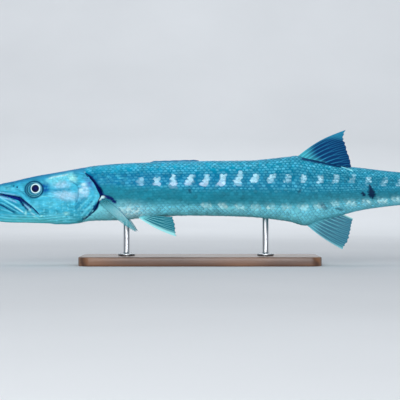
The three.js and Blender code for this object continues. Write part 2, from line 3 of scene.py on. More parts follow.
import bmesh
import bpy
import numpy as np
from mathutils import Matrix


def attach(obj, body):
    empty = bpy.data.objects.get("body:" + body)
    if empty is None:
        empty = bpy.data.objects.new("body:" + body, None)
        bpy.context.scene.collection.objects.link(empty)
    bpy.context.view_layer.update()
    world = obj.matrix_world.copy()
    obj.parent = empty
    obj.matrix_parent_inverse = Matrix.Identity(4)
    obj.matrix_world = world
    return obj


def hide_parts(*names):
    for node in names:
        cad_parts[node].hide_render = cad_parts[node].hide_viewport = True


# A great barracuda at life size, as a still model on a stand.
# Shapes are worked out in millimetres and made in metres. Levels count from the fish's long axis.
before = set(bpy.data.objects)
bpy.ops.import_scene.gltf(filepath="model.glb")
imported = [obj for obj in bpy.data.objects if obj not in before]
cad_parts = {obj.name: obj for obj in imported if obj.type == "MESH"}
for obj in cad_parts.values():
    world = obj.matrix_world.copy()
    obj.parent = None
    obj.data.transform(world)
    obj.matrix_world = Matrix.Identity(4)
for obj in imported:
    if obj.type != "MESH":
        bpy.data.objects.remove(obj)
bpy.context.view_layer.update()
mm = 0.001
axisLevel = 150
print("frame loaded")


# curves and small sums

def smooth(t):
    t = np.clip(t, 0.0, 1.0)
    return t * t * (3 - 2 * t)


def bell(t):
    return np.exp(-np.square(t))


def through(stations):
    xs = np.array([s[0] for s in stations], float)
    vs = np.array([s[1] for s in stations], float)
    slope = np.gradient(vs, xs)
    slope[1:-1] = (vs[2:] - vs[:-2]) / (xs[2:] - xs[:-2])

    def curve(x):
        x = np.clip(x, xs[0], xs[-1])
        i = np.clip(np.searchsorted(xs, x, side="right") - 1, 0, len(xs) - 2)
        span = xs[i + 1] - xs[i]
        t = (x - xs[i]) / span
        bow = t * (1 - t) ** 2 * span * slope[i] - t * t * (1 - t) * span * slope[i + 1]
        return vs[i] + (vs[i + 1] - vs[i]) * t * t * (3 - 2 * t) + bow
    return curve


def lineThrough(points):
    # a centripetal curve through points of any dimension, read at 0 to 1
    pts = np.array(points, float)
    ends = np.vstack([2 * pts[0] - pts[1], pts, 2 * pts[-1] - pts[-2]])

    def curve(u):
        place = np.clip(np.asarray(u, float), 0, 1) * (len(pts) - 1)
        i = np.clip(place.astype(int), 0, len(pts) - 2)
        t = (place - i)[..., None]
        a, b, c, d = (ends[i + k] for k in range(4))
        spans = (b - a, c - b, d - c)
        gaps = [np.maximum(np.sum(span ** 2, -1, keepdims=True), 1e-9) ** 0.25 for span in spans]
        in1 = ((b - a) / gaps[0] - (c - a) / (gaps[0] + gaps[1]) + (c - b) / gaps[1]) * gaps[1]
        in2 = ((c - b) / gaps[1] - (d - b) / (gaps[1] + gaps[2]) + (d - c) / gaps[2]) * gaps[1]
        return b + in1 * t + (3 * (c - b) - 2 * in1 - in2) * t ** 2 + (2 * (b - c) + in1 + in2) * t ** 3
    return curve


def nearLine(x, level, points, samples=48):
    # the distance to a line on the flank, and the place along it from 0 to 1
    line = lineThrough(points)(np.linspace(0, 1, samples))
    best, along = np.full(np.shape(x), 1e9), np.zeros(np.shape(x))
    for k in range(samples - 1):
        ax, al = line[k]
        dx, dl = line[k + 1] - line[k]
        t = np.clip(((x - ax) * dx + (level - al) * dl) / (dx * dx + dl * dl), 0, 1)
        d = np.hypot(x - ax - t * dx, level - al - t * dl)
        along = np.where(d < best, (k + t) / (samples - 1), along)
        best = np.minimum(d, best)
    return best, along


def oval(x, level, form):
    # how far out a place lies, where 1 is the rim of the oval
    return np.hypot((x - form["x"]) / form["length"], (level - form["level"]) / form["height"])


# the body's form

body = {
    "back": through([
        (-490, 0), (-464, 3.2), (-424, 9.2), (-400, 13), (-374, 18), (-350, 24), (-330, 28.4), (-300, 34),
        (-248, 43), (-200, 50.6), (-120, 55.4), (0, 59), (100, 60), (140, 63.4), (180, 68), (196, 69),
        (214, 64.6), (240, 59), (280, 50.4), (320, 45.6), (400, 36.6), (446, 35)]),
    "belly": through([
        (-490, -13), (-468, -26), (-448, -42), (-424, -57), (-400, -65), (-350, -66), (-300, -68.4), (-272, -70),
        (-248, -68), (-220, -62.6), (-160, -61), (-80, -53.4), (0, -52), (100, -54.6), (140, -58.4),
        (180, -64), (212, -71.6), (240, -62), (280, -52.6), (320, -42), (360, -35.6), (400, -31), (446, -30)]),
    "half": through([
        (-490, 6.5), (-464, 9.5), (-424, 15.5), (-400, 19), (-350, 25), (-300, 31), (-248, 36), (-200, 37.5),
        (0, 40), (100, 40), (194, 38), (280, 31), (360, 22), (400, 17), (446, 9)]),
    "widest": through([(-490, -8), (-400, -11), (-330, -13), (-250, -9), (-180, -3), (0, 1), (446, 3)]),
    "topFullness": through([(-490, 2.2), (-330, 2.7), (-250, 2.4), (-150, 2.15), (446, 2.05)]),
    "bottomFullness": through([(-490, 2.1), (-330, 1.9), (-200, 2.1), (446, 2.1)]),
    "snout": (-476, -2.6, 24),
    "chin": (-490, -10, 15),
    "tail": 446,
}


def tipShrink(x, tip):
    rest = np.clip(1 - (x - tip[0]) / tip[2], 0, 1)
    return np.sqrt(1 - rest * rest)


def sectionPoint(x, angle, tip=body["snout"]):
    # how far aside and how high a point of the body's surface lies
    level = body["widest"](x)
    c, s = np.cos(angle), np.sin(angle)
    power = 2 / np.where(s > 0, body["topFullness"](x), body["bottomFullness"](x))
    reach = np.where(s > 0, body["back"](x) - level, level - body["belly"](x))
    side = body["half"](x) * np.sign(c) * np.abs(c) ** power
    high = level + reach * np.sign(s) * np.abs(s) ** power
    shrink = tipShrink(x, tip)
    return side * shrink, tip[1] + (high - tip[1]) * shrink


def angleAt(x, level, tip=body["snout"]):
    shrink = np.maximum(tipShrink(x, tip), 1e-3)
    raw = tip[1] + (level - tip[1]) / shrink
    middle = body["widest"](x)
    up = raw > middle
    reach = np.where(up, body["back"](x) - middle, middle - body["belly"](x))
    fullness = np.where(up, body["topFullness"](x), body["bottomFullness"](x))
    share = np.clip(np.abs(raw - middle) / reach, 0, 1) ** (fullness / 2)
    return np.arcsin(share) * np.sign(raw - middle)


def surfaceAt(x, angle, tip=body["snout"]):
    # the point, the outward normal and the direction towards the tail, with the side counted outwards
    step, turn = 0.6, 0.012
    x, angle = np.broadcast_arrays(np.asarray(x, float), np.asarray(angle, float))
    side, level = sectionPoint(x, angle, tip)
    before, after = sectionPoint(x - step, angle, tip), sectionPoint(x + step, angle, tip)
    low, high = sectionPoint(x, angle - turn, tip), sectionPoint(x, angle + turn, tip)
    along = np.stack([np.full(x.shape, 2 * step), after[0] - before[0], after[1] - before[1]], -1)
    around = np.stack([np.zeros(x.shape), high[0] - low[0], high[1] - low[1]], -1)
    along /= np.linalg.norm(along, axis=-1, keepdims=True)
    out = np.cross(around, along)
    out /= np.maximum(np.linalg.norm(out, axis=-1, keepdims=True), 1e-9)
    return np.stack([x, side, level], -1), out, along


# places on the head

head = {
    "eye": {"x": -330.4, "level": 1.4, "length": 15.4, "height": 14.4, "proud": 1.0, "drop": 3.0},
    "pupil": {"x": -328.4, "level": 2.9, "radius": 7.6},
    "orbit": {"x": -331, "level": 1, "length": 19.6, "height": 17.8, "depth": 2.6, "rim": 0.6},
    "ring": {"x": -331, "level": 1, "length": 18.3, "height": 16.6},  # the ring round the eye, painted dark as shade in the orbit's hollow; the eye's own rings follow it
    "nostrils": [(-373, 8.4, 1.8), (-366, 6.4, 2.2)],
    "upperLip": through([
        (-500, -4), (-476, -4), (-440, -5), (-400, -6.6), (-380, -10), (-360, -14.3),
        (-357.5, -20.5), (-355, -26.2), (-350, -32), (-345, -38.3)]),
    "lowerLip": through([
        (-500, -7.5), (-476, -8), (-440, -9), (-400, -10.5), (-376, -17), (-360, -23),
        (-355, -28.4), (-350, -33.6), (-345, -38.7)]),
    "corner": (-345, -38.5),
    "coverRear": through([
        (-60.5, -236), (-52, -224), (-40, -211), (-22, -203), (-12, -199), (0, -204), (14, -211), (25, -220),
        (32, -229)]),
    "coverFront": [(-262, 22), (-250, 14), (-243, 2), (-244, -16), (-250, -32), (-260, -48), (-276, -58.5)],
    "slitWidth": through([
        (-62, 0.8), (-56, 1.6), (-46, 3.0), (-38, 5.6), (-30, 4.6), (-23, 2.2), (-17, 1.6), (-12, 3.4), (-6, 6.4),
        (6, 6.2), (18, 5.6), (26, 4.8), (32, 3.4), (36, 2)]),
    "cheekFold": [(-361, -15.8), (-351, -23.5), (-341, -31), (-333, -37), (-326, -44.5), (-319, -53)],
    "jawStripe": [(-486, -9), (-440, -13), (-400, -15), (-390, -21), (-380, -28), (-368, -35), (-352, -47)],
    "jawGroove": [(-478, -13), (-440, -20), (-402, -28.5), (-390, -35), (-382, -40.5), (-366, -49)],
    "lipFold": [(-468, 0.6), (-440, -0.2), (-400, -1.8), (-376, -5.4)],
    "cheekTop": through([(-360, 14), (-330, 20), (-310, 20.5), (-296, 26), (-280, 29.5), (-258, 35), (-228, 34)]),
}


def formInset(x, level, side):
    # how far the skin's details lie under the smooth body, less than nothing where they stand proud; also a mask of
    # painted shade for its hollows and the share of the throat's streaks
    inset = np.full(x.shape, 0.5)
    dark = np.zeros(x.shape)

    orbit, eye = head["orbit"], head["eye"]
    r = oval(x, level, orbit)
    inset += orbit["depth"] * np.sqrt(np.clip(1 - r * r, 0, 1)) * smooth((1.02 - r) / 0.5)
    inset -= orbit["rim"] * bell((r - 1.05) / 0.09)
    q = oval(x, level, eye)
    inset += 7 * smooth((1.02 - q) / 0.24)
    inset -= 0.4 * bell((q - 1.12) / 0.07)
    # painted shade in the crevice round the eye
    dark += 0.6 * bell((q - 1.03) / 0.035)

    # the nostrils, with painted shade in their hollows
    for nx, nl, size in head["nostrils"]:
        d = np.hypot((x - nx) / size, (level - nl) / (0.75 * size))
        inset += 2.2 * smooth((1.15 - d) / 0.5) - 0.45 * bell((d - 1.5) / 0.35)
        dark += 0.9 * smooth((1.1 - d) / 0.4)

    # the cheek fold, with painted shade inside it
    d, along = nearLine(x, level, head["cheekFold"])
    width = 2.9 - 1.9 * smooth(along / 0.55)
    inset += (4.6 - 3.0 * along) * smooth((width * 1.6 - d) / (width * 1.3)) * smooth((1 - along) / 0.15)
    inset -= 0.5 * bell((d - width * 1.9) / 1.7)
    dark += smooth((width * 1.15 - d) / (width * 0.5)) * smooth((1.02 - along) / 0.2)

    # the jaw's groove, with painted shade in it
    d, along = nearLine(x, level, head["jawGroove"])
    inset += 1.6 * bell(d / 1.3) * smooth((1 - along) / 0.3)
    dark += 0.75 * bell(d / (1.9 - along)) * smooth((1 - along) / 0.4)
    d, along = nearLine(x, level, head["jawStripe"])
    inset -= 0.9 * bell(d / 2.0) * smooth(along / 0.1)
    d, along = nearLine(x, level, head["lipFold"])
    inset += 0.6 * bell(d / 0.9) * smooth((1 - along) / 0.2)

    lip = head["upperLip"](x)
    ahead = smooth((-352 - x) / 10)
    inset -= 0.7 * bell((level - lip - 2.2) / 1.5) * ahead

    # the gill cover, its front fold and the cheek in front of it
    edge = head["coverRear"](level)
    d, along = nearLine(x, level, head["coverFront"])
    inset += 0.75 * bell(d / 1.1) * smooth(along / 0.06) * smooth((1 - along) / 0.12)
    onCover = smooth((x + 262) / 26) * smooth((edge + 1.5 - x) / 3)
    onCover = onCover * smooth((level + 66) / 8) * smooth((40 - level) / 8)
    inset -= 0.8 * onCover
    for spoke in np.linspace(-1.0, 0.9, 9):  # faint ribs that spread over the cover from its front
        line = np.arctan2(level - 4, x + 262) - spoke
        inset -= 0.16 * bell(line / 0.035) * onCover * smooth((x + 244) / 12)
    inset -= 1.1 * bell((x + 283) / 24) * bell((level + 8) / 20)
    inset += 0.5 * bell((x + 300) / 9) * bell((level + 20) / 26)

    # skin folds of the lowered throat, and ridges on the top of the head
    throat = smooth((-44 - level) / 8) * smooth((x + 415) / 18) * smooth((-236 - x) / 26)
    streak = np.sin((level + 3 * np.sin(x / 31)) * 1.12 + 0.6 * np.sin(x / 13))
    inset += 0.45 * streak * throat
    crown = smooth((x + 404) / 10) * smooth((-292 - x) / 22) * smooth((level - body["back"](x) + 9) / 6)
    inset -= 0.8 * crown * bell((np.abs(side) - 5.5 - 0.05 * (x + 400)) / 1.2)
    inset += 0.5 * crown * bell(side / 2.5)

    # grooves at the roots of the fins on the back, with painted shade in the second one
    top = smooth((level - body["back"](x) + 8) / 5)
    inset += 1.6 * top * bell(side / 4.2) * smooth((x + 106) / 10) * smooth((4 - x) / 6)
    near = smooth((x - 192) / 8) * smooth((292 - x) / 10)
    inset += 1.3 * top * bell((np.abs(side) - 2.5) / 2.2) * near
    dark += 0.5 * top * bell((np.abs(side) - 3.4) / 2.0) * near
    return inset, np.clip(dark, 0, 1), np.clip(throat * (0.5 + 0.5 * streak), 0, 1)


# colours: one for every place on the fish, the same for the skin and for each scale

def tint(red, green, blue):
    # a colour from 0 to 255 as the eye reads it, turned into amounts of light
    parts = (c / 255 for c in (red, green, blue))
    return np.array([((c + 0.055) / 1.055) ** 2.4 if c > 10 / 255 else c / 12.92 for c in parts] + [1.0])


def paint(colour, tone, share):
    return colour + (tone - colour) * np.clip(share, 0, 1)[..., None]


def alongStops(stops, t):
    places = [stop[0] for stop in stops]
    return np.stack([np.interp(t, places, [tint(*stop[1])[k] for stop in stops]) for k in range(4)], -1)


def waves(x, level, length, seed, stretch=1.0):
    # an uneven field between about -1 and 1, longer along the fish by the stretch
    chance = np.random.default_rng(abs(seed))
    total = np.zeros(np.shape(x))
    for _ in range(7):
        turn, phase = chance.uniform(0, math.pi), chance.uniform(0, 6.3)
        size = length * chance.uniform(0.55, 1.5)
        run = (x * math.cos(turn) / stretch + level * math.sin(turn)) * 6.28 / size
        total = total + np.sin(run + phase + 0.9 * np.sin(run * 0.37 + 2 * phase))
    return total / 3.2


flank = {
    "lateral": through([(-230, 12), (-190, 8), (-140, 6), (-20, 2), (100, -2), (200, -3), (446, 1)]),
    "bandFoot": through([(-230, -22), (-140, -26), (0, -28), (150, -29), (250, -25), (320, -19), (446, -12)]),
    "heights": [(0, "belly"), (0.15, "silver"), (0.27, "silver"), (0.43, "band"), (0.53, "line"),
                (0.62, "upper"), (0.78, "upper"), (0.94, "sheen"), (1, "back")],
    "front": {"belly": (120, 212, 222), "silver": (140, 230, 242), "band": (45, 130, 148), "line": (38, 124, 146),
              "upper": (32, 120, 162), "sheen": (72, 190, 226), "back": (54, 160, 200)},
    "rear": {"belly": (96, 170, 182), "silver": (112, 184, 194), "band": (58, 128, 144), "line": (40, 116, 138),
             "upper": (38, 116, 144), "sheen": (60, 152, 182), "back": (52, 146, 176)},
    "fadeLow": (150, 200), "fadeHigh": (-150, 490),  # where the front tones give way to the rear ones: start, length
    # how strongly the scales carry their painted glint and painted edge shade, from belly to back
    "glintShade": ([0, 0.08, 0.2, 0.34, 0.40, 0.45, 0.53, 0.565, 0.61, 0.66, 0.78, 0.84, 0.92, 1.0],
               [0.25, 0.55, 0.85, 0.75, 0.2, 0.06, 0.08, 0.35, 0.55, 0.3, 0.34, 0.7, 1.0, 0.8]),
    "barFirst": -118, "barPitch": 32.5, "bars": 18, "row": 5.6,
    "barLevel": through([
        (-118, 18), (-50, 17.5), (-20, 19), (50, 21), (110, 24), (240, 24), (300, 21), (400, 18)]),
    "barPower": through([(-118, 0.5), (-85, 0.85), (-50, 1), (60, 1), (300, 0.95), (446, 0.85)]),
    "patchFirst": 14, "patchPitch": 31.8, "patches": 13,
    "patchLevel": through([(14, -33), (120, -35), (215, -36), (260, -30), (320, -26), (400, -20), (446, -16)]),
    "ink": [  # x, level, half width, half height, slant
        (343, -7, 7.6, 10.5, 0.2), (340, 5, 2.6, 6, 0.1), (326, -8, 4.2, 4.8, 0.3), (198, -2, 2.2, 4.4, -0.5),
        (247, -33, 5.2, 7.4, 0.7), (278, -38, 7.4, 3.4, 1.4), (-20, -2.5, 3.0, 4.6, 0.3), (-22, -29, 2.0, 1.8, 0)],
    "inkOther": [  # the far flank has its own
        (356, -6, 7.5, 8.5, 0.2), (318, -12, 5, 5.5, 0.3), (262, -34, 6.4, 4.6, 0.9), (232, -30, 4.0, 5.0, 0.4),
        (150, -4, 2.4, 3.6, -0.4), (-64, -5, 2.6, 3.4, 0.3)],
}
# fleck and rim are the scales' painted glint and painted edge shade, gap is painted shade in slits, grooves and
# hollows, silver a painted highlight on the cheek and gill cover
coatTones = {name: tint(*shade) for name, shade in {
    "ink": (0, 34, 66), "gap": (4, 20, 92), "mouth": (16, 60, 190), "blue": (8, 84, 158), "fleck": (112, 220, 246),
    "rim": (10, 84, 134), "silver": (196, 224, 246), "mint": (190, 255, 250), "aqua": (138, 236, 252),
    "teal": (36, 132, 172), "deep": (4, 60, 124), "violet": (84, 112, 186), "lilac": (160, 206, 250),
    "bar": (200, 240, 255), "barLilac": (206, 224, 250), "patch": (222, 255, 255), "white": (224, 252, 255),
    "green": (92, 196, 188)}.items()}
# the whole coat is toned down by these at the end
coatGain, coatDrop = np.array([0.86, 0.93, 0.93, 1.0]), np.array([0.012, 0.004, 0.0, 0.0])
# soft patches on the head: tone, x, level, half length, half height, slope, strength
headPatches = [
    # the silver spots and the mint spot above them on the cheek and gill cover, and the mint and white spots at the
    # rear end of the lower jaw, are painted highlights
    ("silver", -276, 11, 17, 8, 0.0, 0.75), ("silver", -266, -11, 27, 9.5, -0.1, 0.85),
    ("silver", -231, 0, 10, 13, 0.3, 0.85), ("mint", -255, 24, 9.5, 7.5, -0.3, 1.0),
    ("white", -231, 11, 5, 3.2, 0.2, 0.8), ("teal", -236, 6, 5, 2.6, 0.2, 0.6),
    ("white", -237, -1, 5, 4, 0.4, 0.6), ("silver", -225, -7, 5, 7, 0.4, 0.6),
    ("teal", -246, -14, 3, 10, 0.0, 0.5), ("aqua", -286, 21, 26, 8, 0.25, 0.8),
    ("teal", -282, 0, 30, 3.6, 0.05, 0.7), ("blue", -309, 4, 10, 11, 0.0, 1.15),
    ("violet", -220, 14, 10, 10, -0.8, 0.75), ("teal", -238, -30, 12, 12, 0.7, 0.6),
    ("mint", -267, -47, 6.5, 3.4, 0.1, 0.8), ("aqua", -290, -51, 15, 6, 0.0, 0.4),
    ("aqua", -296, -28, 20, 9, 0.0, 0.28), ("aqua", -327, -32, 8, 9, 0.0, 0.35),
    ("aqua", -206, -14, 4, 12, 0.4, 0.35), ("green", -330, -60, 70, 7, 0.0, 0.55),
    ("teal", -372, -38, 14, 6, -0.5, 0.8), ("aqua", -384, 2, 30, 4, -0.05, 0.4),
    ("mint", -342, -38, 4.5, 4, -0.5, 0.8), ("mint", -349, -46, 2.6, 5, 0.3, 0.7),
    ("white", -334, -48, 5, 2, -0.5, 0.6), ("mint", -318, -52, 3.4, 1.6, 0.2, 0.9),
    ("mint", -230, -56, 3.0, 3.0, 0.6, 0.7)]
# lines on the head: tone, half width, strength, points
headLines = [
    # painted highlight along the cheek's upper border, on this line and the next
    ("aqua", 3.4, 0.95, [(-310, 17), (-298, 22.5), (-280, 26.5), (-262, 31), (-250, 34)]),
    ("white", 1.4, 0.8, [(-304, 22), (-292, 26), (-276, 28.5), (-262, 32)]),
    # painted shade in the slits of the cheek fold, then in the lower part of the gill opening
    ("gap", 3.6, 1.0, [(-362, -17), (-352, -24), (-344, -29.5), (-335, -35.5)]),
    ("gap", 1.5, 0.9, [(-340, -33), (-331, -40), (-322, -50)]),
    ("gap", 2.4, 1.0, [(-360, -21), (-354, -30), (-347, -37), (-342, -41)]),
    ("gap", 2.1, 1.0, [(-203, -21), (-209, -33), (-216, -43), (-227, -53), (-238, -60)]),
    ("gap", 3.0, 1.0, [(-209, -30), (-211, -36), (-214, -42)]),
    # painted shade along the front fold of the gill cover
    ("deep", 1.1, 0.6, [(-261, 19), (-250, 13.5), (-243, 7), (-242, -4), (-243, -18), (-250, -30)]),
    ("lilac", 1.0, 0.8, [(-440, -3), (-400, -4.4), (-384, -7), (-368, -10.5), (-356, -14)]),
    ("lilac", 1.3, 0.9, [(-352, -28.5), (-346, -33.5), (-339, -39.5)]),
    ("aqua", 0.9, 0.8, [(-352, -19), (-344, -24), (-334, -32), (-327, -40)]),
    # painted shade in the slit of the mouth
    ("gap", 1.5, 1.0, [(-416, -10.6), (-404, -11.2), (-392, -13.2), (-380, -17)]),
    ("lilac", 1.5, 0.95, [(-404, -13), (-394, -15), (-380, -19), (-364, -26)]),
    ("teal", 1.6, 0.9, [(-400, -17), (-388, -21), (-374, -26.5), (-360, -35)]),
    # painted highlights along the ridge of the lower jaw, on this line and the next
    ("aqua", 1.6, 1.0, [(-404, -13), (-390, -21), (-380, -27), (-366, -35.5), (-352, -46)]),
    ("white", 1.0, 0.7, [(-372, -33), (-362, -39), (-352, -46)]),
    ("teal", 1.8, 0.8, [(-404, -20), (-390, -26.5), (-376, -34), (-362, -43)]),
    # a second painted highlight, below the ridge of the lower jaw
    ("aqua", 1.0, 0.7, [(-400, -24), (-388, -30), (-374, -38.5), (-360, -46)]),
    # painted shade in the groove of the lower jaw
    ("gap", 2.0, 0.85, [(-404, -28), (-392, -33.5), (-382, -39), (-368, -47)]),
    ("aqua", 0.9, 0.7, [(-400, -39), (-388, -41), (-374, -46)]),
    ("aqua", 1.0, 0.8, [(-324, -16), (-314, -13), (-300, -12.5), (-288, -13)]),
    ("mint", 0.9, 0.6, [(-336, -53), (-328, -55), (-322, -57)]),
    ("aqua", 2.2, 0.8, [(-240, -54), (-228, -42), (-216, -29), (-208, -20)]),
    ("aqua", 1.8, 0.6, [(-246, -44), (-234, -30), (-222, -18), (-214, -10)]),
    ("aqua", 1.4, 0.5, [(-232, -56), (-222, -46), (-213, -35)]),
    ("deep", 1.6, 0.5, [(-238, -47), (-226, -34), (-212, -20)]),
    ("deep", 1.3, 0.35, [(-250, -36), (-240, -24), (-226, -12)]),
    ("white", 1.1, 0.75, [(-232, 36), (-222, 34), (-210, 30), (-204, 24)]),
    ("deep", 1.0, 0.5, [(-256, 34), (-240, 32), (-230, 30)]),
    ("deep", 1.1, 0.6, [(-372, 3), (-360, -1), (-351, -8), (-344, -15)]),
    ("aqua", 0.8, 0.5, [(-400, 8), (-388, 7.5), (-378, 10)]),
    ("teal", 1.0, 0.5, [(-352, 20), (-342, 22.5), (-328, 21.5), (-316, 16)]),
    ("deep", 0.9, 0.4, [(-310, -54), (-296, -58), (-280, -60)])]
# the root of the pectoral fin on the skin: the gap lines are painted shade in the gill opening, in the fin's axil and
# by its pale knob, and a painted shadow along the second dorsal fin's root
rootLines = [
    ("gap", 3.2, 1.0, [(-229, 32), (-217, 24.5), (-206.5, 13), (-199.5, 1), (-194.5, -9)]),
    ("gap", 4.0, 1.0, [(-192, -12.5), (-184, -14), (-176, -18), (-169, -24)]),
    ("white", 3.4, 1.0, [(-200, -20), (-197, -15), (-191, -14)]),
    ("gap", 1.8, 0.9, [(-195, -19), (-190, -18.5)]),
    ("gap", 2.4, 1.0, [(-199, -22), (-205, -31), (-212, -42), (-222, -51), (-236, -60)]),
    ("gap", 3.6, 1.0, [(-205, -30), (-210, -38)]),
    ("gap", 3.4, 0.9, [(206, 62.5), (226, 58.5), (250, 54), (268, 50), (281, 47.5)])]


def riseOf(x, level):
    # 0 on the belly, 0.4 at the foot of the dull band, 0.55 at the side line, 1 on the back
    back, belly = body["back"](x), body["belly"](x)
    low, lateral = flank["bandFoot"](x), flank["lateral"](x)
    rise = np.where(
        level > lateral, 0.55 + 0.45 * (level - lateral) / (back - lateral),
        np.where(level > low, 0.4 + 0.15 * (level - low) / (lateral - low), 0.4 * (level - belly) / (low - belly)))
    return np.clip(rise, 0, 1)


def barShare(x, level):
    # upright bars, stepped from one row of scales to the next
    share, lilac = np.zeros(x.shape), np.zeros(x.shape)
    row = np.round(level / flank["row"])
    for k in range(flank["bars"]):
        middle = flank["barFirst"] + flank["barPitch"] * k
        jitter = 0.8 * np.sin(row * 2.7 + k * 4.1) + 0.5 * np.sin(row * 5.3 + k * 1.7)
        up = row * flank["row"] - flank["barLevel"](middle)
        slant = 0.0 if k < 3 else 0.34
        wide = (5.6 if middle < 150 else 4.6) - 0.11 * up + 0.7 * jitter
        off = np.abs(x - middle - slant * up - 0.9 * np.sin(row * 3.9 + k)) / wide
        tall = 8.5 if k < 2 else 10.5 if middle < 90 else 7.5
        spot = smooth((1.3 - off) / 0.4) * smooth((1.25 - np.abs(up + 0.5 * jitter) / tall) / 0.3)
        spot = spot * (0.86 + 0.14 * np.sin(row * 1.9 + k * 2.3)) * flank["barPower"](middle)
        lilac = np.where(spot > share, smooth((2 - up) / 12) * (1 if k < 6 else 0.2), lilac)
        share = np.maximum(share, spot)
    return share, lilac


def patchShare(x, level):
    # pale zigzags low on the flank
    share = np.zeros(x.shape)
    for k in range(flank["patches"]):
        jitter = np.random.default_rng(90 + k).uniform(-1, 1, 4)
        middle = flank["patchFirst"] + flank["patchPitch"] * k + 2 * jitter[0]
        fold = np.abs(np.mod((x - middle) / 9 + 0.3 * jitter[3], 1) - 0.5) * 11 - 2.7
        up = level - flank["patchLevel"](middle) - jitter[1]
        window = smooth((1.25 - np.abs(x - middle + 0.3 * up) / (9.5 + jitter[3])) / 0.4)
        line = bell((up - fold) / 2.6) + 0.45 * bell(up / 6.5)
        share = np.maximum(share, np.clip(line, 0, 1) * window * (0.8 + 0.2 * jitter[2]))
    return share * (0.85 + 0.3 * waves(x, level, 9, 17))


def trunkColour(x, level, barX, barLevel, keep):
    rise = riseOf(x, level) + 0.012 * waves(x, level, 30, 3, 3)
    front, rear = (alongStops([(place, flank[end][name]) for place, name in flank["heights"]], rise)
                   for end in ("front", "rear"))
    low, high = (smooth((x - flank[key][0]) / flank[key][1]) for key in ("fadeLow", "fadeHigh"))
    colour = paint(front, rear, low + (high - low) * smooth((rise - 0.35) / 0.1))
    zigzag = patchShare(barX, barLevel)
    colour = paint(colour, coatTones["patch"], zigzag * (0.4 + 0.6 * keep))
    share, lilac = barShare(barX, barLevel)
    loose = 0.12 + 0.78 * smooth((x - 90) / 100)
    share = share * (1 - loose + loose * keep)
    colour = paint(colour, coatTones["bar"] + (coatTones["barLilac"] - coatTones["bar"]) * lilac[..., None], share)
    quiet = np.maximum(0.65 * share, 0.85 * np.clip(zigzag, 0, 1))
    # the pale, speckled breast and the light cloud at the nape
    breast = bell(np.hypot((x + 140) / 32, (level + 45) / 14)) * (1.1 + 0.5 * waves(x, level, 5, 21))
    colour = paint(colour, coatTones["white"], 1.0 * breast * (0.5 + 0.5 * keep))
    nape = bell(np.hypot((x + 176) / 34, (level - 24) / 9)) * np.clip(waves(x, level, 7, 23, 3), 0, 1)
    colour = paint(colour, coatTones["aqua"], 0.55 * nape)
    return colour, rise, quiet


def headColour(x, level):
    back, belly, top = body["back"](x), body["belly"](x), head["cheekTop"](x)
    colour = np.zeros(x.shape + (4,)) + tint(76, 184, 214)
    colour = paint(colour, tint(66, 174, 206), smooth((-352 - x) / 20))
    colour = paint(colour, tint(62, 166, 208), smooth((level - top + 5) / 8))
    colour = paint(colour, tint(44, 140, 190), smooth((level - back + 9) / 9))
    colour = paint(colour, tint(70, 176, 202), smooth((-34 - level) / 22))
    colour = paint(colour, tint(62, 168, 182), smooth((belly - level + 12) / 12))
    crown = 1 - 0.8 * smooth((level - back + 12) / 9)
    colour = colour * (1 + crown * (0.17 * waves(x, level, 7, 31, 3.5) + 0.15 * waves(x, level, 3.0, 32, 5)))[..., None]
    clear = smooth((oval(x, level, head["orbit"]) - 0.96) / 0.14)
    # soft patches, among them painted highlights on the cheek, gill cover and jaw
    for tone, px, pl, wide, high, slope, power in headPatches:
        far = np.hypot((x - px) / wide, (level - pl - slope * (x - px)) / high)
        ragged = 0.8 + 0.28 * waves(x, level, 6, int(-px), 1.6)
        offEye = 1 if tone == "blue" else clear
        colour = paint(colour, coatTones[tone], power * np.exp(-far ** 3) * ragged * offEye)
    # lines, among them painted highlights along the cheek and jaw and painted shade in slits and grooves
    for tone, wide, power, points in headLines:
        d, along = nearLine(x, level, points, 24)
        ends = smooth(along / 0.12) * smooth((1 - along) / 0.12)
        ragged = 0.85 + 0.2 * waves(x, level, 8, 41)
        colour = paint(colour, coatTones[tone], power * bell(d / wide) * ends * ragged)
    r = oval(x, level, head["ring"])
    fleck = smooth((waves(x, level, 6.5, 61, 1.3) - 0.3) / 0.7)
    fleck = fleck * smooth((-16 - level) / 14) * smooth((x + 336) / 20)
    colour = paint(colour, coatTones["aqua"], 0.6 * fleck * smooth((level - belly - 4) / 6))
    colour = paint(colour, tint(66, 150, 172), smooth((1.0 - r) / 0.06))
    # painted shade in the orbit's hollow round the eye
    colour = paint(colour, tint(2, 48, 92), bell((r - 1.0) / 0.09))
    return colour


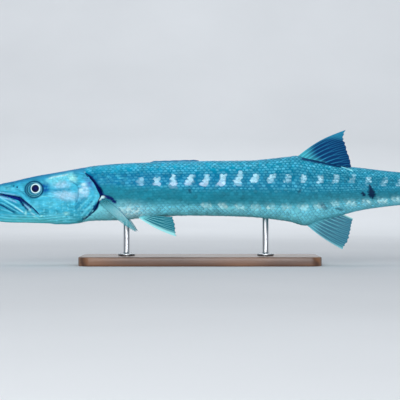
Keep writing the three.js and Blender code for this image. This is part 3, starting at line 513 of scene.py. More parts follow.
def coatColour(x, level, hand, barX=None, barLevel=None, keep=1.0):
    # the colour at a place, how much of it is head, its height from belly to back and how much it is marked;
    # hand is 1 on the fish's left and -1 on its right
    barX, barLevel = (x if barX is None else barX), (level if barLevel is None else barLevel)
    colour, rise, quiet = trunkColour(x, level, barX, barLevel, keep)
    # painted shade and shadow in the gill opening, the pectoral axil and along the second dorsal fin's root, and the
    # pale knob
    for tone, wide, power, points in rootLines:
        d = nearLine(x, level, points, 16)[0]
        share = power * smooth((wide - d) / 1.4)
        colour, quiet = paint(colour, coatTones[tone], share), np.maximum(quiet, share)
    onHead = smooth((head["coverRear"](level) + 1.0 - x) / 2.0) * (x < -190)
    near = onHead > 0
    if near.any():
        colour[near] = paint(colour[near], headColour(x[near], level[near]), onHead[near])
    for name, which in (("ink", 1), ("inkOther", -1)):
        for ix, il, wide, high, slant in flank[name]:
            up = level - il
            ragged = 1.12 + 0.16 * waves(x, level, 5, int(ix))
            spot = smooth((ragged - np.hypot((x - ix + slant * up) / wide, up / high)) / 0.28)
            spot = np.where(hand * which > 0, spot, 0) * (1 if ix > 300 else 0.65)
            colour, quiet = paint(colour, coatTones["ink"], spot), np.maximum(quiet, spot)
    upper = 0.028 * smooth((rise - 0.5) / 0.3) * (1 - onHead) * (1 - quiet)
    colour[..., 0] -= upper
    return np.clip(colour * coatGain - coatDrop, 0, 1), onHead, rise, quiet


# meshes

def setLayer(mesh, name, values):
    # one value, a vector or a colour for each point
    values = np.ascontiguousarray(values, np.float32)
    width = values.shape[1] if values.ndim > 1 else 1
    kind, key = {1: ("FLOAT", "value"), 3: ("FLOAT_VECTOR", "vector"), 4: ("FLOAT_COLOR", "color")}[width]
    mesh.attributes.new(name, kind, "POINT").data.foreach_set(key, values.ravel())


def readRun(items, key, kind=np.int32, width=1):
    values = np.zeros(len(items) * width, kind)
    items.foreach_get(key, values)
    return values


def getLayer(mesh, name):
    return readRun(mesh.attributes[name].data, "vector", np.float32, 3).reshape(-1, 3).astype(float)


def unwrapMesh(mesh, places):
    # the map that the looks are baked to: one place for each corner of the faces
    mesh.uv_layers.new(name="OFBake").data.foreach_set("uv", places.astype(np.float32).ravel())


def makePiece(name, points, faces, material, masks=None, smoothFaces=True):
    mesh = bpy.data.meshes.new(name)
    mesh.from_pydata((np.asarray(points) * mm).tolist(), [], [tuple(f) for f in faces])
    for key, values in (masks or {}).items():
        setLayer(mesh, key, values)
    mesh.polygons.foreach_set("use_smooth", np.full(len(mesh.polygons), smoothFaces))
    mesh.update()
    piece = bpy.data.objects.new(name, mesh)
    bpy.context.scene.collection.objects.link(piece)
    if material:
        mesh.materials.append(material)
    return piece


def gridFaces(rows, columns, start=0, wrap=False):
    # quads of a grid held row by row; wrap closes it across the rows
    r = np.arange(rows if wrap else rows - 1)
    c = np.arange(columns - 1)
    a = (r[:, None] * columns + c[None, :]).ravel()
    b = (((r[:, None] + 1) % rows) * columns + c[None, :]).ravel()
    return (np.stack([a, a + 1, b + 1, b], 1) + start).tolist()


def ringFaces(rings, around, start=0):
    # quads between rings of points, where each ring closes on itself
    a = np.arange(around)
    n = (a + 1) % around
    r = start + around * np.arange(rings - 1)[:, None]
    return np.stack([r + a, r + n, r + around + n, r + around + a], -1).reshape(-1, 4).tolist()


def faceOutwards(piece, mergeBy=0.00001):
    # joins what lies together, drops flat faces and turns the closed shape the right way out
    work = bmesh.new()
    work.from_mesh(piece.data)
    bmesh.ops.remove_doubles(work, verts=work.verts, dist=mergeBy)
    bmesh.ops.dissolve_degenerate(work, edges=work.edges, dist=mergeBy / 10)
    bmesh.ops.recalc_face_normals(work, faces=work.faces)
    if work.calc_volume(signed=True) < 0:
        bmesh.ops.reverse_faces(work, faces=work.faces)
    work.to_mesh(piece.data)
    work.free()
    piece.data.update()


def finishPiece(piece, slot, *replaced):
    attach(piece, "root")
    if replaced:
        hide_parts(*replaced)


# materials

def addNode(tree, kind, inputs=None, **settings):
    made = tree.nodes.new(kind)
    for key, value in settings.items():
        setattr(made, key, value)
    for key, value in (inputs or {}).items():
        if isinstance(value, bpy.types.NodeSocket):
            tree.links.new(value, made.inputs[key])
        else:
            made.inputs[key].default_value = value
    return made


def mixColours(tree, factor, first, second):
    return addNode(tree, "ShaderNodeMix", {0: factor, 6: first, 7: second}, data_type="RGBA").outputs[2]


def sumOf(tree, kind, first, second, clamp=False):
    return addNode(tree, "ShaderNodeMath", {0: first, 1: second}, operation=kind, use_clamp=clamp).outputs[0]


def times(tree, first, second, clamp=False):
    return sumOf(tree, "MULTIPLY", first, second, clamp)


def plus(tree, first, second, clamp=False):
    return sumOf(tree, "ADD", first, second, clamp)


def ease(tree, value, low, high):
    # a smooth step from 0 at low to 1 at high
    return addNode(tree, "ShaderNodeMapRange", {0: value, 1: low, 2: high}, interpolation_type="SMOOTHSTEP").outputs[0]


def rampOf(tree, factor, stops):
    ramp = addNode(tree, "ShaderNodeValToRGB", {0: factor})
    line = ramp.color_ramp
    for place, colour in stops[:-2]:  # a new ramp has two stops
        line.elements.new(place)
    for element, (place, colour) in zip(line.elements, stops):
        element.position = place
        element.color = colour
    return ramp.outputs[0]


def readMask(tree, name):
    return addNode(tree, "ShaderNodeAttribute", attribute_name=name).outputs["Fac"]


def noiseOn(tree, scale, detail=3.0, stretch=(1, 1, 1)):
    place = addNode(tree, "ShaderNodeTexCoord").outputs["Object"]
    mapped = addNode(tree, "ShaderNodeMapping", {0: place, 3: stretch}).outputs[0]
    return addNode(tree, "ShaderNodeTexNoise", {"Vector": mapped, "Scale": scale, "Detail": detail}).outputs[0]


def groupSocket(tree, name, kind, value=None, output=False):
    made = tree.interface.new_socket(name, in_out="OUTPUT" if output else "INPUT", socket_type="NodeSocket" + kind)
    if value is not None:
        made.default_value = value
    return made


def readColour(tree, name):
    return addNode(tree, "ShaderNodeAttribute", attribute_name=name).outputs["Color"]


def coatGroup():
    # the fish's coat: its colour with fine lengthwise grain, painted shade where the dark mask is set, and how wet it
    # looks
    tree = bpy.data.node_groups.new("fishCoat", "ShaderNodeTree")
    groupSocket(tree, "Grain", "Float", 0.3)
    groupSocket(tree, "Colour", "Color", output=True)
    groupSocket(tree, "Roughness", "Float", output=True)
    groupSocket(tree, "Metallic", "Float", output=True)
    given = addNode(tree, "NodeGroupInput")
    out = addNode(tree, "NodeGroupOutput")
    dark = readMask(tree, "dark")
    fine = noiseOn(tree, 420, 3, (0.22, 1, 1))
    broad = noiseOn(tree, 95, 4, (0.45, 1, 1))
    grain = sumOf(tree, "SUBTRACT", plus(tree, fine, times(tree, broad, 0.7)), 0.85)
    value = plus(tree, 1.0, times(tree, grain, given.outputs["Grain"]))
    colour = addNode(tree, "ShaderNodeHueSaturation", {"Value": value, "Color": readColour(tree, "coat")}).outputs[0]
    # painted shade: the dark mask turns the colour to the gap tone
    tree.links.new(mixColours(tree, dark, colour, tuple(coatTones["gap"])), out.inputs["Colour"])
    rough = plus(tree, 0.40, times(tree, broad, 0.2))
    tree.links.new(plus(tree, rough, times(tree, dark, 0.3), True), out.inputs["Roughness"])
    tree.links.new(times(tree, sumOf(tree, "SUBTRACT", 1.0, dark, True), 0.12), out.inputs["Metallic"])
    return tree


fishCoat = coatGroup()


def newMaterial(name, values=None):
    made = bpy.data.materials.new(name)
    made.use_nodes = True
    shader = made.node_tree.nodes["Principled BSDF"]
    for key, value in (values or {}).items():
        shader.inputs[key].default_value = value
    return made, made.node_tree, shader


def joinShader(tree, shader, sockets, bump=None):
    # the sockets that feed the shader, and a bump as strength, distance and height
    for key, socket in sockets.items():
        tree.links.new(socket, shader.inputs[key])
    if bump:
        made = addNode(tree, "ShaderNodeBump", dict(zip(("Strength", "Distance", "Height"), bump)))
        tree.links.new(made.outputs[0], shader.inputs["Normal"])


def coatMaterial(name, grain, specular, bump):
    made, tree, shader = newMaterial(name, {
        "Specular IOR Level": specular, "Specular Tint": (0.35, 0.85, 1.0, 1.0),
        "Coat Weight": 0.02, "Coat Roughness": 0.25})
    coat = addNode(tree, "ShaderNodeGroup", {"Grain": grain}, node_tree=fishCoat).outputs
    pores = plus(tree, noiseOn(tree, 900, 2), times(tree, noiseOn(tree, 240, 3, (0.4, 1, 1)), 1.4))
    sockets = {"Base Color": coat["Colour"], "Roughness": coat["Roughness"], "Metallic": coat["Metallic"]}
    joinShader(tree, shader, sockets, (bump, 0.0006, pores))
    return made


skinMaterial = coatMaterial("fish_skin", grain=0.6, specular=0.2, bump=0.25)
scaleMaterial = coatMaterial("fish_scales", grain=0.35, specular=0.22, bump=0.12)
print("materials ready")


# the skin: one closed sheet from the snout to the root of the tail fin

skinPlan = {
    "spans": [(-490, -380, 1.4), (-380, -300, 0.9), (-300, -203, 1.3), (-193, 446, 4.6)],  # from, to, spacing
    "rowsAbove": 44, "rowsBelow": 60,  # from the mouth up to the back, and down to the belly
    "shifts": {"upper": 14, "web": 28, "lower": 0}, "shiftFade": 50,  # the snout starts behind the chin
    "blendAside": 60,  # how far behind the mouth its rows spread out again
    "slitAt": -200, "coverFall": 85,  # the gill opening's columns, and how far from them others bend too
}
# the mouth's lining from the upper lip round to the lower one: where it belongs, inwards, upwards
mouthPath = [
    ("upper", 0, 0), ("upper", 1.2, -0.3), ("upper", 2.6, 1.0), ("upper", 7, 2.8), ("upper", 12, 3.2),
    ("web", 99, 3.4), ("web", 99, 0), ("web", 99, -4.5),
    ("lower", 11, -4.8), ("lower", 6, -4.4), ("lower", 2.6, -1.8), ("lower", 1.2, 0.2), ("lower", 0, 0)]
# the gill opening's free edge: tailwards, then shares of its width, and the inset
slitPath = [
    (-1.5, 0, -0.3), (-0.4, 0, -0.25), (0, 0, 0.3), (-0.5, 0, 2.4), (-2.0, 0, 5.2),
    (0, 0.15, 6.2), (0, 0.6, 4.8), (0, 0.95, 1.6), (0.9, 1.0, 0.5)]


def lineMouth(columns, xOf, x, side, level, dark, lining):
    # folds the rows between the lips into the mouth, ahead of its corner
    upper, lower = skinPlan["rowsAbove"], skinPlan["rowsAbove"] + len(mouthPath) - 1
    ahead = columns < head["corner"][0]
    depth = smooth((head["corner"][0] - columns) / 15)
    webShares = {5: 1.0, 6: 0.5, 7: 0.0}  # how much the web's three rows follow the upper lip
    for step, (part, inwards, upwards) in enumerate(mouthPath[1:-1], 1):
        k = upper + step
        lip = upper if part == "upper" or step < 6 else lower
        if part == "web":
            share = webShares[step]
            webSide = 1.5 * smooth((columns - body["chin"][0]) / (0.4 * skinPlan["shiftFade"]))
            newSide = side[lip] * (1 - depth) + webSide * depth
            newLevel = level[upper] * share + level[lower] * (1 - share) + upwards * depth
        else:
            shrink = tipShrink(xOf[part], body["snout" if part == "upper" else "chin"])
            room = np.maximum(side[lip] - 1.6, 0)
            newSide = side[lip] - np.minimum(inwards, room) * depth
            newLevel = level[lip] + upwards * depth * shrink
        # the deeper rows of the lining get painted shade and the mouth's colour; painted shade on the lips is halved
        deep = 0.0 if inwards < 2 else 1.0
        for rows, value in ((x, xOf[part]), (side, newSide), (level, newLevel), (dark, 0.35 * deep)):
            rows[k] = np.where(ahead, value, rows[k])
        lining[k] = np.where(ahead, deep, 0)
    for k in (upper, lower):
        dark[k] = np.where(ahead, dark[k] * 0.5, dark[k])


def unwrapSkin(mesh, ring, columns):
    # the sheet itself: length along, girth across
    girth = np.append(np.repeat(np.arange(ring) / ring, len(columns)), 0.5)
    run = np.cumsum(np.append(0, np.maximum(np.diff(columns), 0.6)))
    length = np.append(np.tile(run / run[-1], ring), 1.0)
    corner, sizes = readRun(mesh.loops, "vertex_index"), readRun(mesh.polygons, "loop_total")
    v = girth[corner]
    owner = np.repeat(np.arange(len(sizes)), sizes)
    low, high = np.full(len(sizes), 2.0), np.zeros(len(sizes))
    np.minimum.at(low, owner, v)
    np.maximum.at(high, owner, v)
    v = np.where((high - low > 0.5)[owner] & (v < 0.4), v + 1, v)  # faces over the seam run on past 1
    unwrapMesh(mesh, np.stack([0.005 + 0.99 * length[corner], 0.005 + 0.985 * v], 1))


def buildSkin():
    spans, slitAt = skinPlan["spans"], skinPlan["slitAt"]
    stretches = [np.arange(a, b - step / 2, step) for a, b, step in spans[:-1]]
    a, b, step = spans[-1]
    rearColumns = np.linspace(a, b, int((b - a) / step) + 1)
    slitEven = np.linspace(-1.5, 4.5, len(slitPath))
    columns = np.concatenate(stretches + [slitAt + slitEven, rearColumns])
    slitStart = sum(len(s) for s in stretches)
    isSlit = np.zeros(len(columns), bool)
    isSlit[slitStart:slitStart + len(slitPath)] = True

    above, below, slots = skinPlan["rowsAbove"], skinPlan["rowsBelow"], len(mouthPath) - 1
    total = above + below + slots
    start = np.clip((columns - body["chin"][0]) / skinPlan["shiftFade"], 0, 1)
    xOf = {part: columns + shift * (1 - start) for part, shift in skinPlan["shifts"].items()}

    cornerAngle = float(angleAt(*head["corner"]))
    ahead = columns < head["corner"][0]
    upperAngle = np.where(ahead, angleAt(xOf["upper"], head["upperLip"](xOf["upper"])), cornerAngle)
    lowerAngle = np.where(ahead, angleAt(columns, head["lowerLip"](columns), body["chin"]), cornerAngle)
    blend = smooth((columns - head["corner"][0]) / skinPlan["blendAside"])

    x, side, level, angles, dark, streak, lining, slitInset = np.zeros((8, total + 1, len(columns)))
    for k in range(total + 1):
        even = math.pi / 2 - math.pi * k / total
        if k <= above:
            tied = math.pi / 2 + (upperAngle - math.pi / 2) * k / above
        elif k < above + slots:
            tied = np.full(len(columns), cornerAngle)
        else:
            tied = lowerAngle + (-math.pi / 2 - lowerAngle) * (k - above - slots) / below
        angles[k] = tied * (1 - blend) + even * blend

    # columns bend to the free edge of the gill cover
    rowLevel = sectionPoint(np.full(total + 1, float(slitAt)), angles[:, slitStart])[1]
    shift = head["coverRear"](rowLevel) - slitAt
    width = head["slitWidth"](rowLevel)
    strength = smooth((rowLevel + 62) / 5) * smooth((36.5 - rowLevel) / 4)
    fall = np.cos(math.pi / 2 * np.clip((columns - slitAt) / skinPlan["coverFall"], -1, 1)) ** 2
    bent = np.tile(columns, (total + 1, 1))
    for j, (go, share, deep) in enumerate(slitPath):
        column = slitStart + j
        place = slitEven[j] * (1 - strength) + (go + share * width) * strength
        bent[:, column] = slitAt + place
        slitInset[:, column] = deep
    bent += shift[:, None] * fall[None, :]

    for k in range(total + 1):
        part, tip = ("upper", body["snout"]) if k <= above else ("lower", body["chin"])
        row = bent[k] + (xOf[part] - columns)
        place, out, _ = surfaceAt(row, angles[k], tip)
        inset, dark[k], streak[k] = formInset(row, place[:, 2], place[:, 1])
        slit = isSlit * strength[k]
        inset = inset * (1 - slit) + slitInset[k] * slit
        # painted shade deep in the gill opening
        dark[k] = np.clip(dark[k] + slit * smooth((slitInset[k] - 1.0) / 1.2), 0, 1)
        inset *= tipShrink(row, tip)
        done = place - out * inset[:, None]
        x[k], side[k], level[k] = done.T
    side[0], side[-1] = 0, 0

    lineMouth(columns, xOf, x, side, level, dark, lining)

    def bothFlanks(near, far):
        # down one flank and up the other
        return np.concatenate([near, far[::-1][1:-1]])

    # both flanks from one half, and a closed end inside the tail fin
    points = bothFlanks(*(np.stack([x, -hand * side, level + axisLevel], -1) for hand in (1, -1)))
    coats = (coatColour(x, level, np.full(x.shape, hand))[0] for hand in (1, -1))
    coats = (paint(paint(coat, coatTones["aqua"], 0.4 * streak), coatTones["mouth"], lining) for coat in coats)
    coat = bothFlanks(*coats).reshape(-1, 4)
    ring, run = len(points), len(columns)
    faces = gridFaces(ring, run, wrap=True)
    faces += [(r * run + run - 1, ring * run, (r + 1) % ring * run + run - 1) for r in range(ring)]
    points = np.vstack([points.reshape(-1, 3), [[body["tail"], 0, axisLevel + 3]]])
    layers = {"coat": np.vstack([coat, coat[-1:]]), "dark": np.append(bothFlanks(dark, dark).ravel(), 0)}
    piece = makePiece("skin", points, faces, skinMaterial, layers)
    unwrapSkin(piece.data, ring, columns)
    faceOutwards(piece)
    finishPiece(piece, "skin", "head", "lower_jaw", "gill_cover_left", "gill_cover_right",
                "trunk_front", "trunk_rear", "tail_stem")
    return piece


skin = buildSkin()
print("skin", len(skin.data.polygons), "faces")


# what repeats: one tree that sets a piece on every point

def setPiecesTree():
    tree = bpy.data.node_groups.new("setPieces", "GeometryNodeTree")
    for name in ("Geometry", "Object", "Material"):
        groupSocket(tree, "Piece" if name == "Object" else name, name)
    for name, kind, value in (("Size", "Float", 1.0), ("Tilt", "Float", 0.0), ("Seed", "Int", 0)):
        groupSocket(tree, name, kind, value)
    groupSocket(tree, "Geometry", "Geometry", output=True)
    given = addNode(tree, "NodeGroupInput").outputs
    out = addNode(tree, "NodeGroupOutput")

    def read(name):
        return addNode(tree, "GeometryNodeInputNamedAttribute", {"Name": name}, data_type="FLOAT_VECTOR").outputs[0]

    turn = addNode(tree, "FunctionNodeAxesToRotation", {0: read("outward"), 1: read("along")}).outputs[0]
    low = times(tree, given["Tilt"], -1.0)
    wobble = {k: addNode(
        tree, "FunctionNodeRandomValue", {2: low, 3: given["Tilt"], "Seed": plus(tree, given["Seed"], k)},
        data_type="FLOAT").outputs[1] for k in range(3)}
    small = addNode(tree, "ShaderNodeCombineXYZ", wobble).outputs[0]
    tilt = addNode(tree, "FunctionNodeEulerToRotation", {0: small}).outputs[0]
    turned = addNode(tree, "FunctionNodeRotateRotation", {0: turn, 1: tilt}, rotation_space="LOCAL").outputs[0]
    size = addNode(tree, "ShaderNodeVectorMath", {0: read("size"), 3: given["Size"]}, operation="SCALE").outputs[0]
    source = addNode(tree, "GeometryNodeObjectInfo", {0: given["Piece"]}).outputs["Geometry"]
    placed = addNode(tree, "GeometryNodeInstanceOnPoints", {
        "Points": given["Geometry"], "Instance": source, "Rotation": turned, "Scale": size})
    real = addNode(tree, "GeometryNodeRealizeInstances", {0: placed.outputs[0]})
    done = addNode(tree, "GeometryNodeSetMaterial", {"Geometry": real.outputs[0], "Material": given["Material"]})
    tree.links.new(done.outputs[0], out.inputs[0])
    return tree


setPieces = setPiecesTree()


def spread(name, piece, material, places, outward, along, size, masks=None, tilt=0.0, seed=0):
    # a mesh of pieces, one at each place, in millimetres
    holder = makePiece(name + "_points", places, [], None, masks)
    for key, values in (("outward", outward), ("along", along), ("size", np.asarray(size) * mm)):
        setLayer(holder.data, key, values)
    modifier = holder.modifiers.new("pieces", "NODES")
    modifier.node_group = setPieces
    socket = {s.name: s.identifier for s in setPieces.interface.items_tree if s.in_out == "INPUT"}
    for key, value in (("Piece", piece), ("Material", material), ("Size", 1.0), ("Tilt", tilt), ("Seed", seed)):
        modifier[socket[key]] = value
    bpy.context.view_layer.update()
    graph = bpy.context.evaluated_depsgraph_get()
    mesh = bpy.data.meshes.new_from_object(holder.evaluated_get(graph))
    mesh.name = name
    holder.modifiers.remove(modifier)
    dropLayers(mesh, ("outward", "along", "size"))
    result = bpy.data.objects.new(name, mesh)
    bpy.context.scene.collection.objects.link(result)
    bpy.data.objects.remove(holder)
    return result


def dropLayers(mesh, names):
    for key in names:
        if key in mesh.attributes:
            mesh.attributes.remove(mesh.attributes[key])


# scales

plateShape = {
    "outline": [(0.0, 0.0), (0.10, 0.36), (0.36, 0.5), (0.66, 0.47), (0.88, 0.30), (1.0, 0.0)],
    "sink": -0.9, "lift": 0.62, "dome": 0.42, "bend": 1.15, "thick": 0.5,
}


def makePlate():
    # a scale: root at 0, free edge at 1, about 1 wide; heights are scaled apart from the rest
    half = plateShape["outline"]
    rim = half + [(px, -py) for px, py in half[-2:0:-1]]
    inner = [(0.5 + (px - 0.5) * 0.62, py * 0.62) for px, py in rim]

    def height(px, py, extra):
        rise = (plateShape["lift"] - plateShape["sink"]) * px
        return plateShape["sink"] + rise - plateShape["bend"] * 4 * py * py + extra

    count = len(rim)
    points = [(px, py, height(px, py, 0)) for px, py in rim]
    points += [(px, py, height(px, py, plateShape["dome"] * 0.75)) for px, py in inner]
    points += [(0.5, 0, height(0.5, 0, plateShape["dome"])), (0.5, 0, height(0.5, 0, -plateShape["thick"]))]
    faces = []
    for k in range(count):
        n = (k + 1) % count
        faces += [(n, k, count + k, count + n), (count + n, count + k, 2 * count), (k, n, 2 * count + 1)]
    piece = makePiece("plate", np.array(points) / mm, faces, None, {"plate": points})
    sharp = piece.data.attributes.new("sharp_edge", "BOOLEAN", "EDGE")
    for index, edge in enumerate(piece.data.edges):
        sharp.data[index].value = max(edge.vertices) < count
    return piece


def evenAngles(x, shares):
    # the angles of rows that share out the half girth evenly at each station
    fine = np.linspace(math.pi / 2, -math.pi / 2, 181)
    side, level = sectionPoint(x[:, None], fine[None, :])
    steps = np.hypot(np.diff(side, axis=1), np.diff(level, axis=1))
    run = np.concatenate([np.zeros((len(x), 1)), np.cumsum(steps, 1)], 1)
    found = np.stack([np.interp(s * r[-1], r, fine) for s, r in zip(shares, run)])
    return found, run[:, -1]


# length and width are shares of the pitch, tone is how far the scales differ from one another; the setting after tilt
# scales their painted glint and painted edge shade
scalePlan = {
    "rows": 28, "from": -300, "pitch": through([(-300, 7.1), (-180, 8.3), (100, 8.3), (446, 5.2)]),
    "length": 1.55, "width": 2.15, "height": 0.42, "tilt": 0.03, "glintShade": 1.0, "tone": 0.10, "seed": 3,
}
cheekPlan = {
    "rows": 44, "from": -302, "to": -200, "pitch": 3.4, "length": 1.6, "width": 1.9, "height": 0.16, "tilt": 0.02,
    "glintShade": 0.0, "tone": 0.07, "seed": 7,
}


def shadePlates(mesh, plan):
    # the coat's colour at every point of the plates: a painted glint as a light streak along the middle, and painted
    # shade at the dark free edge
    place = readRun(mesh.vertices, "co", np.float32, 3).reshape(-1, 3).astype(float) / mm
    local, middle, mark = getLayer(mesh, "plate"), getLayer(mesh, "middle"), getLayer(mesh, "mark")
    x, level, hand = place[:, 0], place[:, 2] - axisLevel, middle[:, 2]
    barX, barLevel = 0.6 * middle[:, 0] + 0.4 * x, 0.6 * middle[:, 1] + 0.4 * level
    out, across = local[:, 0], local[:, 1]
    streak = np.clip(1 - np.abs(across) / 0.28, 0, 1) * smooth((out - 0.35) / 0.2)
    streak = streak * (1 - 0.6 * smooth((out - 0.85) / 0.15))
    keep = np.clip(0.15 + 1.5 * streak * smooth((mark[:, 1] - 0.15) / 0.4), 0, 1)
    colour, onHead, rise, quiet = coatColour(x, level, hand, barX, barLevel, keep)
    # the strength of the painted glint and edge shade: none on the head or under marks, less towards the front
    glintShade = np.interp(rise, *flank["glintShade"]) * (1 - onHead) * (1 - quiet) * plan["glintShade"]
    glintShade = glintShade * (1 - 0.45 * smooth((-120 - x) / 40))
    edge = np.clip(np.hypot((out - 0.5) / 0.5, across / 0.5), 0, 1) ** 3 * smooth((out - 0.2) / 0.3)
    lively = 0.55 + 0.9 * mark[:, 1] ** 1.5
    # painted glint along each scale's middle, painted shade along its free edge
    colour = paint(colour, coatTones["fleck"], 0.85 * glintShade * streak * lively)
    colour = paint(colour, coatTones["rim"], 0.7 * glintShade * edge)
    colour = colour * (1 + plan["tone"] * mark[:, 0])[:, None]
    setLayer(mesh, "coat", np.clip(colour, 0, 1))
    # painted shade in hollows and grooves, as on the skin
    setLayer(mesh, "dark", 0.8 * formInset(x, level, np.abs(place[:, 1]))[1])
    # a patch for each plate on the unwrap of the skin, at its root's place
    spot = getLayer(mesh, "rootPlace")[:, :2] + (local[:, :2] - (0.5, 0)) * 0.003
    unwrapMesh(mesh, spot[readRun(mesh.loops, "vertex_index")])
    dropLayers(mesh, ("plate", "middle", "mark", "rootPlace"))


def layScales(name, plan, stations, keep, plate):
    rows, seed = plan["rows"], plan["seed"]
    spots = [(a, b - a, row) for row in range(rows + 1) for a, b in zip(stations, stations[1:])]
    start, pitch, row = np.array(spots, float).T
    xs = start + 0.5 * (row % 2) * pitch
    angle, girth = evenAngles(xs, row / rows)
    place, out, along = surfaceAt(xs, angle)
    chosen = keep(xs, place[:, 2]) & (xs < body["tail"] - 2)
    parts = []
    for hand in (1, -1):  # the fish's left, then its right
        wanted = chosen if hand > 0 else chosen & (row > 0) & (row < rows)
        count = int(wanted.sum())
        px, pl = xs[wanted], place[wanted, 2]
        inset = formInset(px, pl, place[wanted, 1])[0]
        p = place[wanted] - out[wanted] * inset[:, None]
        flip = np.array([1, -hand, 1])
        reach = pitch[wanted] * plan["length"]
        tall = plan["height"] * (1 + 0.3 * np.abs(np.sin(angle[wanted])) ** 6)
        chance = np.random.default_rng(seed + hand)
        parts.append((
            (p - along[wanted] * (reach * 0.5)[:, None]) * flip + (0, 0, axisLevel),
            out[wanted] * flip, along[wanted] * flip,
            np.column_stack([reach, girth[wanted] / rows * plan["width"], tall]),
            np.column_stack([px + 0.15 * reach, pl, np.full(count, float(hand))]),
            np.column_stack([np.clip(chance.standard_normal(count), -2, 2), chance.random(count), np.zeros(count)]),
            np.column_stack([
                (px + 492) / 942, 0.5 + hand * (0.004 + 0.49 * (1 - row[wanted] / rows)), np.zeros(count)])))
    places, outs, alongs, sizes, middles, marks, roots = (np.concatenate(group) for group in zip(*parts))
    piece = spread(name, plate, scaleMaterial, places, outs, alongs, sizes,
                   {"middle": middles, "mark": marks, "rootPlace": roots}, tilt=plan["tilt"], seed=seed)
    shadePlates(piece.data, plan)
    finishPiece(piece, "skin")
    print(name, len(places), "scales,", len(piece.data.polygons), "faces")
    return piece


def bodyStations(plan):
    stations = [plan["from"]]
    while stations[-1] < body["tail"]:
        stations.append(stations[-1] + float(plan["pitch"](stations[-1])))
    return stations


def onTrunk(x, level):
    edge = head["coverRear"](level) + head["slitWidth"](level) + 5.5
    behind = x > edge
    nape = (level > head["cheekTop"](x) + 6) & (x > -268)
    throat = (level < -60) & (x > -225)
    root = np.hypot((x + 192) / 9, (level + 18) / 9) > 1
    return ((behind & (x > -232)) | nape | throat) & root & ~((level < 33) & (level > -60) & (x < edge))


def onCheek(x, level):
    edge = head["coverRear"](level) - 3.4
    d = nearLine(x, level, head["coverFront"])[0]
    eye = np.hypot((x - head["orbit"]["x"]) / 27, (level - 1) / 21) > 1
    between = (level < head["cheekTop"](x) - 1) & (level > -48 - 0.1 * (x + 300))
    return (x < edge) & (x > -298) & between & (d > 1.5) & eye


plate = makePlate()
layScales("scales", scalePlan, bodyStations(scalePlan), onTrunk, plate)
cheekStations = list(np.arange(cheekPlan["from"], cheekPlan["to"], cheekPlan["pitch"]))
layScales("cheek_scales", cheekPlan, cheekStations, onCheek, plate)
bpy.data.objects.remove(plate)


# eyes

def eyeMaterial():
    made, tree, shader = newMaterial("fish_eye", {
        "Roughness": 0.25, "Specular IOR Level": 0.05, "Specular Tint": (0.2, 0.5, 1.0, 1.0),
        "Coat Weight": 0.05, "Coat Roughness": 0.04})
    spokes = noiseOn(tree, 520, 3)
    value = plus(tree, 0.82, times(tree, spokes, 0.36))
    colour = addNode(tree, "ShaderNodeHueSaturation", {"Value": value, "Color": readColour(tree, "coat")}).outputs[0]
    joinShader(tree, shader, {"Base Color": colour})
    return made


def eyeColour(x, level):
    # a dark pupil in a bright ring, then rings that follow the orbit
    pupil = head["pupil"]
    far = np.hypot(x - pupil["x"], level - pupil["level"]) + 0.1 * waves(x, level, 9, 51)
    turn = np.arctan2(level - pupil["level"], x - pupil["x"])
    r = oval(x, level, head["ring"])
    colour = np.zeros(x.shape + (4,)) + tint(46, 128, 158)
    colour = colour * (1 + 0.2 * waves(x, level, 5, 52))[..., None]
    for place, wide, tone, power in (
            (0.97, 0.07, tint(4, 60, 100), 1.0), (0.84, 0.04, tint(130, 214, 224), 0.8),
            (0.75, 0.045, tint(12, 80, 112), 0.95), (0.66, 0.035, tint(110, 196, 208), 0.7)):
        below = 0.55 + 0.45 * np.cos(turn + 2.2)
        colour = paint(colour, tone, power * bell((r - place) / wide) * (0.45 + 0.55 * below))
    halo = smooth((12.4 - far) / 2.5) * smooth(np.cos(turn - 0.3) * 1.2)
    colour = paint(colour, tint(150, 202, 224), 0.85 * halo)
    wide = pupil["radius"] + 2.6 + 0.3 * np.cos(turn - 0.6)
    colour = paint(colour, tint(224, 250, 255), smooth((wide - far) / 1.1))
    colour = paint(colour, tint(4, 6, 48), smooth((pupil["radius"] + 0.4 - far) / 0.9))
    centre = bell(np.hypot(x - pupil["x"] - 0.8, level - pupil["level"] - 0.5) / 3.6)
    return np.clip(paint(colour, tint(16, 22, 100), 0.85 * centre) * (0.9, 0.96, 0.96, 1), 0, 1)


def buildEye(name, node, hand, material):
    eye = head["eye"]
    place = np.array([eye["x"]])
    centre, out, along = (v[0] for v in surfaceAt(place, angleAt(place, np.array([eye["level"]]))))
    across = np.cross(out, along)
    rings, around = 64, 120
    turn = np.arange(around) * 2 * math.pi / around
    shares = [(math.sin(math.pi / 2 * k / rings), None) for k in range(rings + 1)]
    shares += [(0.97, -5.0), (0.6, -6.5), (0.0, -7.0)]  # the closed back, with its own depths
    points = []
    for share, high in shares:
        if high is None:
            high = eye["proud"] - eye["drop"] * share ** 3 + 0.5 * math.exp(-(share / 0.5) ** 4)
        for a in turn:
            flat = along * eye["length"] * share * math.cos(a) + across * eye["height"] * share * math.sin(a)
            points.append(centre + flat + out * high)
    points = np.array(points)
    colour = eyeColour(points[:, 0], points[:, 2])
    points = points * (1, -hand, 1) + (0, 0, axisLevel)
    index = np.arange(len(points)).reshape(rings + 4, around).T.ravel()
    faces = [tuple(int(index[i]) for i in f) for f in gridFaces(around, rings + 4, wrap=True)]
    piece = makePiece(name, points, faces, material, {"coat": colour})
    faceOutwards(piece, 0.00002)
    finishPiece(piece, "eye", node)


fishEye = eyeMaterial()
buildEye("eye_near", "eye_left", 1, fishEye)
buildEye("eye_far", "eye_right", -1, fishEye)
print("eyes ready")


# teeth

